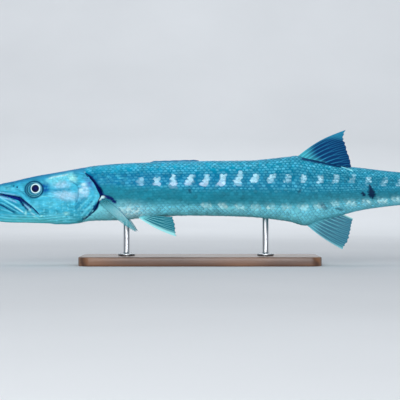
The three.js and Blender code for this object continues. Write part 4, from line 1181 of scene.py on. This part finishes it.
def toothMaterial():
    made, tree, shader = newMaterial("fish_teeth", {
        "Roughness": 0.22, "Subsurface Weight": 0.1, "Subsurface Radius": (0.001, 0.001, 0.001)})
    colour = rampOf(tree, noiseOn(tree, 300, 3), [(0.3, tint(70, 120, 150)), (0.7, tint(120, 172, 190))])
    joinShader(tree, shader, {"Base Color": colour})
    return made


toothPlan = {
    "pitch": 6.4, "first": -466, "last": -384, "height": 2.4, "width": 1.9, "sunk": 1.6, "inside": 1.9,
    "upperFangs": [(-466, 3.0, 8.0), (-455, 5.0, 7.0)], "lowerFangs": [(-481, 3.0, 7.5)],
}


def makeTooth():
    # a flattened blade with a slight hook, one unit high
    rings, around = 6, 8
    points = []
    for k in range(rings):
        t = k / rings
        wide = 0.5 * (1 - t ** 1.6)
        for a in range(around):
            turn = 2 * math.pi * a / around
            points.append((wide * math.cos(turn) + 0.18 * t * t, 0.62 * wide * math.sin(turn), t))
    points += [(0.2, 0, 1.0), (0, 0, 0)]
    faces = ringFaces(rings, around)
    for a in range(around):
        n = (a + 1) % around
        faces += [((rings - 1) * around + a, (rings - 1) * around + n, rings * around), (n, a, rings * around + 1)]
    return makePiece("tooth", np.array(points) / mm, faces, None)


def buildTeeth():
    plan, tooth = toothPlan, makeTooth()
    material = toothMaterial()
    for name, lip, up, tip, fangs, offset in (
            ("upper_teeth", "upperLip", -1, "snout", plan["upperFangs"], 0),
            ("lower_teeth", "lowerLip", 1, "chin", plan["lowerFangs"], plan["pitch"] / 2)):
        spots = []
        for x in np.arange(plan["first"] + offset, plan["last"], plan["pitch"]):
            level = float(head[lip](x))
            side = float(sectionPoint(x, angleAt(x, level, body[tip]), body[tip])[0]) - plan["inside"]
            grow = 0.8 + 0.25 * math.sin(x * 1.7)
            spots.append((x, side, level - up * plan["sunk"], plan["height"] * grow + plan["sunk"], plan["width"]))
        for x, side, high in fangs:
            spots.append((x, side, float(head[lip](x)) - up * 2.5, high + 2.5, 3.4))
        places, outs, sizes = [], [], []
        for hand in (1, -1):
            for x, side, level, high, wide in spots:
                places.append((x, -hand * side, level + axisLevel))
                outs.append((0, 0, up))
                sizes.append((wide, wide, high))
        piece = spread(name, tooth, material, places, outs, [(1, 0, 0)] * len(places), sizes, tilt=0.06, seed=5)
        finishPiece(piece, "tooth")
    bpy.data.objects.remove(tooth)


buildTeeth()
print("teeth ready")


# fins

# root and tips run from the first ray to the last; side gives how far aside a place lies, the middle if left out
fins = {
    "second_dorsal_fin": {
        "rays": 10, "root": [(194, 66), (216, 61), (250, 54.5), (283, 47)],
        "tips": [(293, 121), (289, 105), (293, 90.5), (298, 74), (303, 57), (306, 36)],
        "bow": 6, "thick": 2.2, "leadWide": 0.5, "side": lambda u, v, x, z: (  # the last rays lie over the left flank
            -(sectionPoint(x, angleAt(x, z))[0] + 1.2) * smooth((u - 0.76) / 0.24) * smooth(v / 0.22)),
    },
    "anal_fin": {
        "rays": 10, "root": [(212, -68), (226, -62.5), (256, -55), (287, -48)],
        "tips": [(287, -119.5), (296, -106), (301, -91), (304, -77), (306, -65), (309, -58)], "bow": -3, "thick": 2.2,
    },
    "pelvic_fin": {
        "rays": 6, "root": [(-123, -56), (-118, -54), (-112, -52.5), (-106, -51)],
        "tips": [(-48, -93), (-49.5, -84), (-51, -73), (-53, -63), (-56, -53.5)],
        "bow": -3, "thick": 2.6, "leadWide": 0.9,
        "side": lambda u, v, x, z: -(11 + 10 * v * (1 - 0.35 * u)),
    },
    "pectoral_fin": {
        "rays": 12, "root": [(-193, -14), (-195, -18.5), (-197, -23), (-199, -27)],
        "tips": [(-126, -84), (-134, -80.5), (-146, -73), (-159, -63.5), (-171, -53.5), (-184, -42)],
        "bow": 6, "thick": 2.6,
        "side": lambda u, v, x, z: -(33 + 5.8 * np.minimum(v / 0.14, 1) - 6.8 * np.maximum(v - 0.14, 0) / 0.86),
    },
    "tail_upper": {
        "rays": 11, "root": [(446, 35), (450, 18), (451, 2.7)],
        "tips": [(619, 101), (583, 66), (553, 33), (540, 17), (529, 2.9)], "bow": 5, "thick": 2.0, "flesh": 0.3,
    },
    "tail_lower": {
        "rays": 11, "root": [(446, -30), (450, -13), (451, 2.3)],
        "tips": [(614, -93), (579, -58), (551, -27), (538, -12), (529, 2.5)], "bow": -5, "thick": 2.0, "flesh": 0.3,
    },
}
rayForm = {"perGap": 10, "rows": 84, "ridge": 0.55, "membrane": 0.55, "segment": 3.2, "split": 0.42}
finMasks = ("ray", "out", "across", "lead")


def finPoints(plan, seed):
    # both faces of a fin as a grid: rays are ridges that fork and are ringed towards the margin
    perGap, rows = rayForm["perGap"], rayForm["rows"]
    columns = (plan["rays"] - 1) * perGap + 1
    u = np.repeat(np.linspace(0, 1, columns)[:, None], rows, 1)
    chance = np.random.default_rng(seed)
    gapPlace = np.linspace(0, plan["rays"] - 1, columns)
    nearest = np.round(gapPlace)
    off = (gapPlace - nearest)[:, None]  # from the nearest ray, in gaps
    wave = chance.uniform(-1, 1, plan["rays"])[nearest.astype(int)]
    notch = 0.022 * (1 - bell(off[:, 0] / 0.3)) + 0.008 * wave + 0.006 * chance.uniform(-1, 1, columns)
    notch = notch * smooth(u[:, 0] / 0.05)
    v = np.linspace(0, 1, rows)[None, :] * (1 - notch[:, None])
    start = lineThrough(plan["root"])(u)
    end = lineThrough(plan["tips"])(u)
    point = start + (end - start) * v[..., None]
    along = (end - start) / np.linalg.norm(end - start, axis=-1, keepdims=True)
    arch = plan["bow"] * np.sin(math.pi * v) * (1 - u)
    x = point[..., 0] - along[..., 1] * arch
    z = point[..., 1] + along[..., 0] * arch
    y = plan["side"](u, v, x, z) if "side" in plan else np.zeros(x.shape)
    length = np.linalg.norm(end - start, axis=-1)

    fork = 0.24 * smooth((v - rayForm["split"]) / 0.35)
    wide = 0.17 * (1 - 0.45 * v)
    ray = np.maximum(bell((off - fork) / wide), bell((off + fork) / wide))
    ray = np.maximum(ray, bell(off / 0.2) * (1 - smooth((v - rayForm["split"]) / 0.2)))
    ringed = 1 - 0.35 * smooth((v - 0.2) / 0.2) * bell((np.mod(v * length / rayForm["segment"], 1) - 0.5) / 0.16)
    lead = bell(u / (plan.get("leadWide", 0.35) / plan["rays"]))
    thick = plan["thick"] + (rayForm["membrane"] - plan["thick"]) * np.minimum(v * 2.4, 1) ** 0.6
    thick = thick + 2 * rayForm["ridge"] * ray * ringed * (1 - 0.72 * v) + 0.7 * lead * (1 - v)
    thick = thick * (1 - 0.55 * smooth((v - 0.93) / 0.07))
    ripple = 0.5 * np.sin(2 * math.pi * gapPlace)[:, None] * smooth((v - 0.2) / 0.5)
    if "flesh" in plan:
        stem = np.full(columns, float(body["tail"]))
        rootSide = sectionPoint(stem, angleAt(stem, start[:, 0, 1]))[0]
        fleshy = 2 * rootSide[:, None] * np.clip(1 - v / plan["flesh"], 0, 1) ** 1.3
        thick = np.maximum(thick, fleshy - 0.6)
    place = np.stack([x, y + ripple * 0.4, z], -1)
    normal = np.cross(np.gradient(place, axis=0), np.gradient(place, axis=1))
    normal /= np.maximum(np.linalg.norm(normal, axis=-1, keepdims=True), 1e-9)
    sheets = [place + sign * normal * thick[..., None] / 2 for sign in (1, -1)]
    return sheets, dict(zip(finMasks, (np.clip(ray * ringed, 0, 1), v, u, lead))), columns, rows


def finMesh(plans, hand, seed):
    points, faces, masks = [], [], {key: [] for key in finMasks}
    base = 0
    for number, plan in enumerate(plans):
        sheets, given, columns, rows = finPoints(plan, seed + number)
        count = columns * rows
        for sheet in sheets:
            points.append((sheet * (1, hand, 1) + (0, 0, axisLevel)).reshape(-1, 3))
            for key in masks:
                masks[key].append(given[key].ravel())
        faces += gridFaces(columns, rows, base)
        faces += [tuple(reversed(f)) for f in gridFaces(columns, rows, base + count)]
        rim = [c * rows for c in range(columns)]
        rim += [(columns - 1) * rows + r for r in range(1, rows)]
        rim += [c * rows + rows - 1 for c in range(columns - 2, -1, -1)]
        rim += [r for r in range(rows - 2, 0, -1)]
        for k, a in enumerate(rim):
            b = rim[(k + 1) % len(rim)]
            faces.append((base + a, base + b, base + count + b, base + count + a))
        base += 2 * count
    return np.concatenate(points), faces, {key: np.concatenate(parts) for key, parts in masks.items()}


# colours, then how far they reach in shares of the fin, and clear is how solid the membrane is
finLooks = {
    "dark": {
        "membrane": (0, 54, 108), "deep": (0, 42, 92), "ray": (52, 160, 206), "root": (50, 130, 160),
        "tip": (40, 132, 166), "lead": (44, 142, 178), "front": (84, 206, 220), "trail": (140, 232, 246),
        "tipReach": 0.54, "tipFull": 0.72, "tipLean": 1.7, "rootReach": 0.04, "rayPower": 1.0,
        "clear": 1.0, "leadWide": 0.5, "specular": 0.12,
    },
    "teal": {
        "membrane": (42, 124, 148), "deep": (20, 94, 122), "ray": (142, 222, 230), "root": (96, 176, 188),
        "tip": (86, 166, 176), "lead": (140, 208, 218), "front": (104, 196, 212), "trail": (150, 216, 216),
        "tipReach": 0.35, "tipLean": 1.6, "rootReach": 0.2, "rayPower": 0.95,
        "clear": 0.93, "leadWide": 0.8,
    },
    "pelvic": {
        "membrane": (40, 136, 152), "deep": (24, 112, 132), "ray": (164, 242, 246), "root": (124, 216, 222),
        "tip": (44, 138, 156), "lead": (170, 242, 244),
        "tipReach": 0.05, "rootReach": 0.22, "rayPower": 1.0,
        "clear": 0.94, "leadWide": 2.0,
    },
    # the pectoral fin's dark lead is a painted shadow along its upper edge
    "pectoral": {
        "membrane": (98, 196, 208), "deep": (70, 166, 184), "ray": (120, 214, 222), "root": (110, 204, 214),
        "tip": (76, 166, 178), "lead": (20, 106, 138),
        "tipReach": 0.25, "rootReach": 0.04, "rayPower": 0.5,
        "clear": 0.6, "leadWide": 0.9, "coat": 0.7, "raySolid": 0.3,
    },
    "tail": {
        "membrane": (22, 84, 122), "deep": (14, 66, 104), "ray": (54, 132, 164), "root": (64, 146, 172),
        "tip": (104, 172, 190), "lead": (34, 104, 140),
        "tipReach": 0.16, "rootReach": 0.34, "rayPower": 0.5,
        "clear": 1.0, "leadWide": 0.6,
    },
}


def finGroup():
    # fibres along the rays, from the fin's own places
    tree = bpy.data.node_groups.new("finFibres", "ShaderNodeTree")
    groupSocket(tree, "Fineness", "Float", 90.0)
    groupSocket(tree, "Fibre", "Float", output=True)
    given = addNode(tree, "NodeGroupInput")
    out = addNode(tree, "NodeGroupOutput")
    across = times(tree, readMask(tree, "across"), given.outputs[0])
    outwards = times(tree, readMask(tree, "out"), 5.0)
    place = addNode(tree, "ShaderNodeCombineXYZ", {0: across, 1: outwards}).outputs[0]
    fibre = addNode(tree, "ShaderNodeTexNoise", {"Vector": place, "Scale": 1.0, "Detail": 3.0}).outputs[0]
    tree.links.new(fibre, out.inputs[0])
    return tree


finFibres = finGroup()


def finMaterial(name, look):
    look = {key: tint(*value) if isinstance(value, tuple) else value for key, value in look.items()}
    made, tree, shader = newMaterial(name, {
        "Specular IOR Level": look.get("specular", 0.25), "Specular Tint": (0.3, 0.8, 1.0, 1.0)})
    fibre = addNode(tree, "ShaderNodeGroup", {"Fineness": 90.0}, node_tree=finFibres).outputs[0]
    ray, outwards, across, lead = (readMask(tree, key) for key in finMasks)
    colour = mixColours(tree, fibre, look["deep"], look["membrane"])
    if "coat" in look:
        colour = mixColours(tree, look["coat"], colour, readColour(tree, "coat"))
    fade = sumOf(tree, "SUBTRACT", 1.0, times(tree, outwards, 0.5))
    rayShare = times(tree, times(tree, sumOf(tree, "POWER", ray, 3.0), fade), look["rayPower"])
    colour = mixColours(tree, rayShare, colour, look["ray"])
    tipPlace = sumOf(tree, "SUBTRACT", outwards, times(tree, across, look.get("tipLean", 0.0)))
    tipShare = ease(tree, tipPlace, 1 - look["tipReach"], look.get("tipFull", 1.0))
    colour = mixColours(tree, times(tree, tipShare, 0.8), colour, look["tip"])
    rootShare = ease(tree, outwards, look["rootReach"], 0.0)
    colour = mixColours(tree, rootShare, colour, look["root"])
    colour = mixColours(tree, times(tree, lead, look["leadWide"], True), colour, look["lead"])
    if "front" in look:  # a pale foot to the first rays and a pale last ray
        foot = plus(tree, outwards, times(tree, across, 0.4))
        share = ease(tree, foot, 0.44, 0.12)
        share = times(tree, share, plus(tree, 0.55, times(tree, ray, 0.45)))
        colour = mixColours(tree, share, colour, look["front"])
        share = ease(tree, across, 0.93, 0.975)
        colour = mixColours(tree, share, colour, look["trail"])
    sockets = {"Base Color": colour, "Roughness": plus(tree, 0.34, times(tree, fibre, 0.2))}
    if look["clear"] < 1:
        rays = times(tree, ray, look.get("raySolid", 1.0))
        solid = sumOf(tree, "MAXIMUM", sumOf(tree, "MAXIMUM", rays, lead), rootShare)
        sockets["Alpha"] = plus(tree, look["clear"] - 0.16, times(tree, solid, 1.16 - look["clear"]), True)
    joinShader(tree, shader, sockets, (0.35, 0.0004, fibre))
    return made


def buildFin(name, look, slot, replaced, keys, hand=1, seed=0):
    points, faces, masks = finMesh([fins[key] for key in keys], hand, seed)
    if "coat" in finLooks[look]:
        masks["coat"] = coatColour(points[:, 0], points[:, 2] - axisLevel, np.full(len(points), float(hand)))[0]
    piece = makePiece(name, points, faces, finMaterial("fin_" + name, finLooks[look]), masks)
    faceOutwards(piece, 0.000002)
    finishPiece(piece, slot, *replaced)


buildFin("second_dorsal", "dark", "dark_fin", ["second_dorsal_fin"], ["second_dorsal_fin"], seed=11)
buildFin("anal", "teal", "clear_fin", ["anal_fin"], ["anal_fin"], seed=12)
buildFin("tail_fan", "tail", "dark_fin", ["tail_fin_upper", "tail_fin_lower"], ["tail_upper", "tail_lower"], seed=13)
for hand, suffix in ((1, "left"), (-1, "right")):
    buildFin("pelvic_" + suffix, "pelvic", "clear_fin", ["pelvic_fin_" + suffix], ["pelvic_fin"], hand, 15)
    buildFin("pectoral_" + suffix, "pectoral", "clear_fin", ["pectoral_fin_" + suffix], ["pectoral_fin"], hand, 16)
print("fins ready")


# the folded first dorsal fin: spines laid back in their groove, one over the next

firstDorsal = {"spines": 5, "from": -101, "to": -2, "height": 3.0, "wide": 1.7, "sunk": 1.8}


def buildFirstDorsal():
    plan = firstDorsal
    points, faces, given = [], [], []  # given holds the values of finMasks for each point
    rings, around = 44, 12
    step = (plan["to"] - plan["from"]) / (plan["spines"] + 0.6)
    for k in range(plan["spines"]):
        start = plan["from"] + k * step
        length = step * (2.0 if k < plan["spines"] - 1 else 1.5)
        length = min(length, plan["to"] - start)
        first = len(points)
        for r in range(rings):
            t = r / (rings - 1)
            x = start + length * t
            size = (0.35 + 0.65 * smooth(t / 0.12)) * (1 - 0.75 * smooth((t - 0.35) / 0.65))
            centre = float(body["back"](x)) - plan["sunk"] + 1.0 + (plan["height"] - 1.0) * t * (1.15 - 0.75 * t)
            for a in range(around):
                turn = 2 * math.pi * a / around
                level = centre + 1.5 * size * math.sin(turn) + axisLevel
                points.append((x, plan["wide"] * size * math.cos(turn), level))
                given.append((0.5 + 0.5 * math.sin(turn), 0.2 + 0.55 * (k + t) / plan["spines"], a / around, 0))
        faces += ringFaces(rings, around, first)
        faces.append(tuple(first + a for a in range(around)))
        faces.append(tuple(first + (rings - 1) * around + a for a in range(around)))
    # the folded membrane between the spines
    first = len(points)
    count = 120
    for k in range(count):
        t = k / (count - 1)
        x = plan["from"] + (plan["to"] - plan["from"]) * t
        notch = 0.75 + 0.25 * abs(math.sin(math.pi * plan["spines"] * t))
        high = (plan["height"] - 0.6) * notch * min(t / 0.08, 1) * (0.3 + 0.7 * min((1 - t) / 0.1, 1))
        root = float(body["back"](x)) - plan["sunk"] + axisLevel
        lean = 0.5 * math.sin(t * 23)
        for side, up in ((-1.0, 0), (-0.75 + lean * 0.4, 0.6), (lean, 1), (0.75 + lean * 0.4, 0.6), (1.0, 0)):
            points.append((x, side, root + up * (plan["sunk"] + high)))
            given.append((0, 0.3 + 0.5 * t, t, 0))
    faces += ringFaces(count, 5, first)
    faces.append(tuple(first + s for s in range(5)))
    faces.append(tuple(first + (count - 1) * 5 + s for s in range(5)))
    look = dict(finLooks["tail"], membrane=(48, 138, 178), deep=(34, 112, 156), ray=(84, 190, 220),
                root=(50, 130, 160), rootReach=0.06, rayPower=0.75, tip=(6, 50, 100), tipReach=0.4)
    masks = dict(zip(finMasks, np.array(given).T))
    piece = makePiece("first_dorsal", points, faces, finMaterial("fin_first_dorsal", look), masks)
    faceOutwards(piece, 0.000002)
    finishPiece(piece, "dark_fin", "first_dorsal_fin")


buildFirstDorsal()
print("first dorsal fin ready")


# the stand

stand = {
    "length": 480, "width": 160, "height": 18, "corner": 24, "edge": 2.4,  # of the board
    "rod": 6, "foot": 17, "footHeight": 4, "places": (-148, 132), "gap": 0.35,  # rod and foot are radii
    "screws": 3, "screwRing": 12.5, "screwSize": (2.1, 2.1, 1.3),
}


def woodMaterial():
    made, tree, shader = newMaterial("stand_wood", {"Coat Weight": 0.3, "Coat Roughness": 0.18})
    place = addNode(tree, "ShaderNodeTexCoord").outputs["Object"]
    bent = addNode(tree, "ShaderNodeMapping", {0: place, 3: (1.0, 9.0, 9.0)}).outputs[0]
    drift = {"Vector": bent, "Scale": 3.0, "Detail": 4.0, "Distortion": 0.6}
    drift = addNode(tree, "ShaderNodeTexNoise", drift).outputs[0]
    rings = {"Vector": bent, "Scale": 2.2, "Distortion": 5.0, "Detail": 3.0, "Detail Scale": 1.2}
    rings = addNode(tree, "ShaderNodeTexWave", rings, bands_direction="Y").outputs[1]
    pores = noiseOn(tree, 420, 3, (0.03, 1, 1))
    share = plus(tree, times(tree, rings, 0.5), times(tree, drift, 0.5))
    colour = rampOf(tree, share, [(0.2, tint(84, 52, 32)), (0.5, tint(122, 80, 50)), (0.8, tint(150, 104, 68))])
    colour = mixColours(tree, times(tree, pores, 0.35), colour, tint(52, 30, 18))
    rough = plus(tree, 0.28, times(tree, pores, 0.25))
    joinShader(tree, shader, {"Base Color": colour, "Roughness": rough}, (0.25, 0.0005, pores))
    return made


def steelMaterial():
    made, tree, shader = newMaterial("stand_steel", {"Metallic": 1.0})
    brushed = noiseOn(tree, 900, 3, (1, 1, 0.04))
    colour = rampOf(tree, brushed, [(0.3, tint(168, 171, 175)), (0.7, tint(206, 208, 211))])
    rough = plus(tree, 0.2, times(tree, brushed, 0.2))
    joinShader(tree, shader, {"Base Color": colour, "Roughness": rough}, (0.12, 0.0002, brushed))
    return made


def buildBase(material):
    plan = stand
    around = []
    for cx, cy, first in ((1, -1, -0.5), (1, 1, 0), (-1, 1, 0.5), (-1, -1, 1)):
        for k in range(13):
            turn = math.pi * (first + k / 24)
            middle = cx * (plan["length"] / 2 - plan["corner"]), cy * (plan["width"] / 2 - plan["corner"])
            around.append((*middle, math.cos(turn), math.sin(turn)))
    profile = []  # inwards from the side, and height
    for k in range(7):
        turn = math.pi / 2 * k / 6
        profile.append((plan["edge"] * (1 - math.sin(turn)), plan["edge"] * (1 - math.cos(turn))))
    profile += [(px, plan["height"] - py) for px, py in reversed(profile)]
    profile.insert(7, (0.0, plan["height"] * 0.5))
    profile = [(60.0, 0.0), (plan["corner"] * 0.6, 0.0)] + profile + [(plan["corner"] * 0.6, plan["height"])]
    points = []
    for inwards, z in profile:
        reach = max(plan["corner"] - inwards, 0)
        for cx, cy, nx, ny in around:
            points.append((cx + nx * reach, cy + ny * reach, z))
    count = len(around)
    faces = ringFaces(len(profile), count)
    faces.append(tuple(range(count)))
    faces.append(tuple(range((len(profile) - 1) * count, len(profile) * count)))
    piece = makePiece("stand_board", points, faces, material)
    faceOutwards(piece)
    finishPiece(piece, "stand_wood", "stand_base")


def buildRod(name, node, x, material):
    plan = stand
    low = plan["height"] + plan["gap"]
    top = float(body["belly"](x)) + axisLevel + 1.5
    foot, rod, high = plan["foot"], plan["rod"], low + plan["footHeight"]
    profile = [(0, low), (foot - 0.6, low), (foot, low + 0.6), (foot, high - 1.2), (foot - 0.35, high - 0.4),
               (foot - 1.2, high), (rod + 3.2, high), (rod + 1.6, high + 0.5), (rod + 0.5, high + 1.8),
               (rod, high + 3.6), (rod, high + 30), (rod, top - 0.4), (rod - 0.4, top), (0, top)]
    around = 56
    points = [(x + r * math.cos(2 * math.pi * k / around), r * math.sin(2 * math.pi * k / around), z)
              for r, z in profile for k in range(around)]
    faces = ringFaces(len(profile), around)
    piece = makePiece(name, points, faces, material)
    faceOutwards(piece, 0.000002)
    finishPiece(piece, "stand_steel", node)


def buildScrews(material):
    # countersunk screws in the two feet, each with a hexagonal recess
    around = 24
    profile = [(0, 0.0, 0), (1.0, 0.0, 0), (1.0, 0.9, 0), (0.94, 1.0, 0), (0.52, 1.0, 1), (0.5, 0.55, 1), (0, 0.5, 1)]
    points = []
    for r, z, six in profile:
        for k in range(around):
            turn = 2 * math.pi * k / around
            off = (turn + math.pi / 6) % (math.pi / 3) - math.pi / 6  # from the middle of a side of the recess
            corner = math.cos(math.pi / 6) / math.cos(off) if six else 1.0
            points.append((r * corner * math.cos(turn), r * corner * math.sin(turn), z))
    faces = ringFaces(len(profile), around)
    screw = makePiece("screw", np.array(points) / mm, faces, None, smoothFaces=False)
    faceOutwards(screw, 0.0001)
    places = []
    for x in stand["places"]:
        for k in range(stand["screws"]):
            turn = 2 * math.pi * (k + 0.25) / stand["screws"]
            z = stand["height"] + stand["gap"] + stand["footHeight"] - 0.5
            places.append((x + stand["screwRing"] * math.cos(turn), stand["screwRing"] * math.sin(turn), z))
    piece = spread("stand_screws", screw, material, places, [(0, 0, 1)] * len(places), [(1, 0, 0)] * len(places),
                   [stand["screwSize"]] * len(places))
    finishPiece(piece, "stand_steel")
    bpy.data.objects.remove(screw)


steel = steelMaterial()
buildBase(woodMaterial())
buildRod("stand_post_front", "stand_rod_front", stand["places"][0], steel)
buildRod("stand_post_rear", "stand_rod_rear", stand["places"][1], steel)
buildScrews(steel)
print("stand ready")


# the studio: a pale sweep, soft lights and the camera

studio = {
    "distance": 2.6, "level": 0.130, "frameWide": 0.8, "planeAt": -0.02, "sensor": 36.0,
    "floorFront": -6.0, "floorBack": 2.4, "curve": 3.6, "wall": 5.4, "halfWide": 9.0,
    "skyColour": (0.86, 0.92, 1.0, 1), "sky": 0.42,
    "lights": [  # name, place, aim, width, height, power, spread in degrees, colour
        ("key", (-0.8, -2.6, 1.4), (-0.05, 0, 0.15), 2.6, 1.4, 26, 180, (1.0, 0.99, 0.97)),
        ("fill", (0.4, -3.3, 0.35), (0.05, 0, 0.12), 3.2, 0.6, 13.8, 90, (0.96, 0.98, 1.0)),
        ("top", (0.1, 0.7, 2.2), (0, 0, 0.15), 2.4, 1.0, 8, 180, (0.97, 0.99, 1.0)),
        ("far", (0.2, 3.4, 1.9), (0, 0, 0.15), 2.4, 1.4, 16, 180, (0.97, 0.99, 1.0)),
        ("wash", (0, 2.2, 3.6), (0, 6.0, 1.6), 6.0, 1.2, 84, 180, (1.0, 1.0, 1.0))],
}


def buildStudio():
    made, tree, shader = newMaterial("pale_sweep", {"Roughness": 0.9, "Specular IOR Level": 0.0})
    colour = rampOf(tree, noiseOn(tree, 1.5, 3), [(0.3, (0.74, 0.76, 0.78, 1)), (0.7, (0.78, 0.80, 0.82, 1))])
    joinShader(tree, shader, {"Base Color": colour})
    line = [(studio["floorFront"], 0.0), (studio["floorBack"], 0.0)]
    for k in range(1, 17):
        turn = math.pi / 2 * k / 16
        line.append((studio["floorBack"] + studio["curve"] * math.sin(turn), studio["curve"] * (1 - math.cos(turn))))
    line.append((studio["floorBack"] + studio["curve"], studio["wall"]))
    points = [(x / mm, y / mm, z / mm) for y, z in line for x in (-studio["halfWide"], studio["halfWide"])]
    faces = [(2 * k, 2 * k + 1, 2 * k + 3, 2 * k + 2) for k in range(len(line) - 1)]
    floor = makePiece("pale_sweep", points, faces, made)

    camera = bpy.data.objects.new("camera", bpy.data.cameras.new("camera"))
    bpy.context.scene.collection.objects.link(camera)
    camera.location = (0, -studio["distance"], studio["level"])
    camera.rotation_euler = (math.pi / 2, 0, 0)
    camera.data.sensor_width = studio["sensor"]
    camera.data.lens = studio["sensor"] * (studio["distance"] + studio["planeAt"]) / studio["frameWide"]
    bpy.context.scene.camera = camera

    for name, place, aim, wide, high, power, opening, colour in studio["lights"]:
        light = bpy.data.objects.new(name, bpy.data.lights.new(name, "AREA"))
        bpy.context.scene.collection.objects.link(light)
        light.data.shape = "RECTANGLE"
        light.data.size, light.data.size_y = wide, high
        light.data.energy = power
        light.data.spread = math.radians(opening)
        light.data.color = colour
        light.location = place
        direction = np.array(aim) - np.array(place)
        light.rotation_euler = (math.atan2(math.hypot(direction[0], direction[1]), -direction[2]), 0,
                                math.atan2(direction[1], direction[0]) - math.pi / 2)
    world = bpy.data.worlds.new("studio")
    bpy.context.scene.world = world
    world.use_nodes = True
    sky = world.node_tree.nodes["Background"].inputs
    sky[0].default_value, sky[1].default_value = studio["skyColour"], studio["sky"]
    bpy.context.scene.view_settings.view_transform = "Standard"


buildStudio()
print("studio ready")
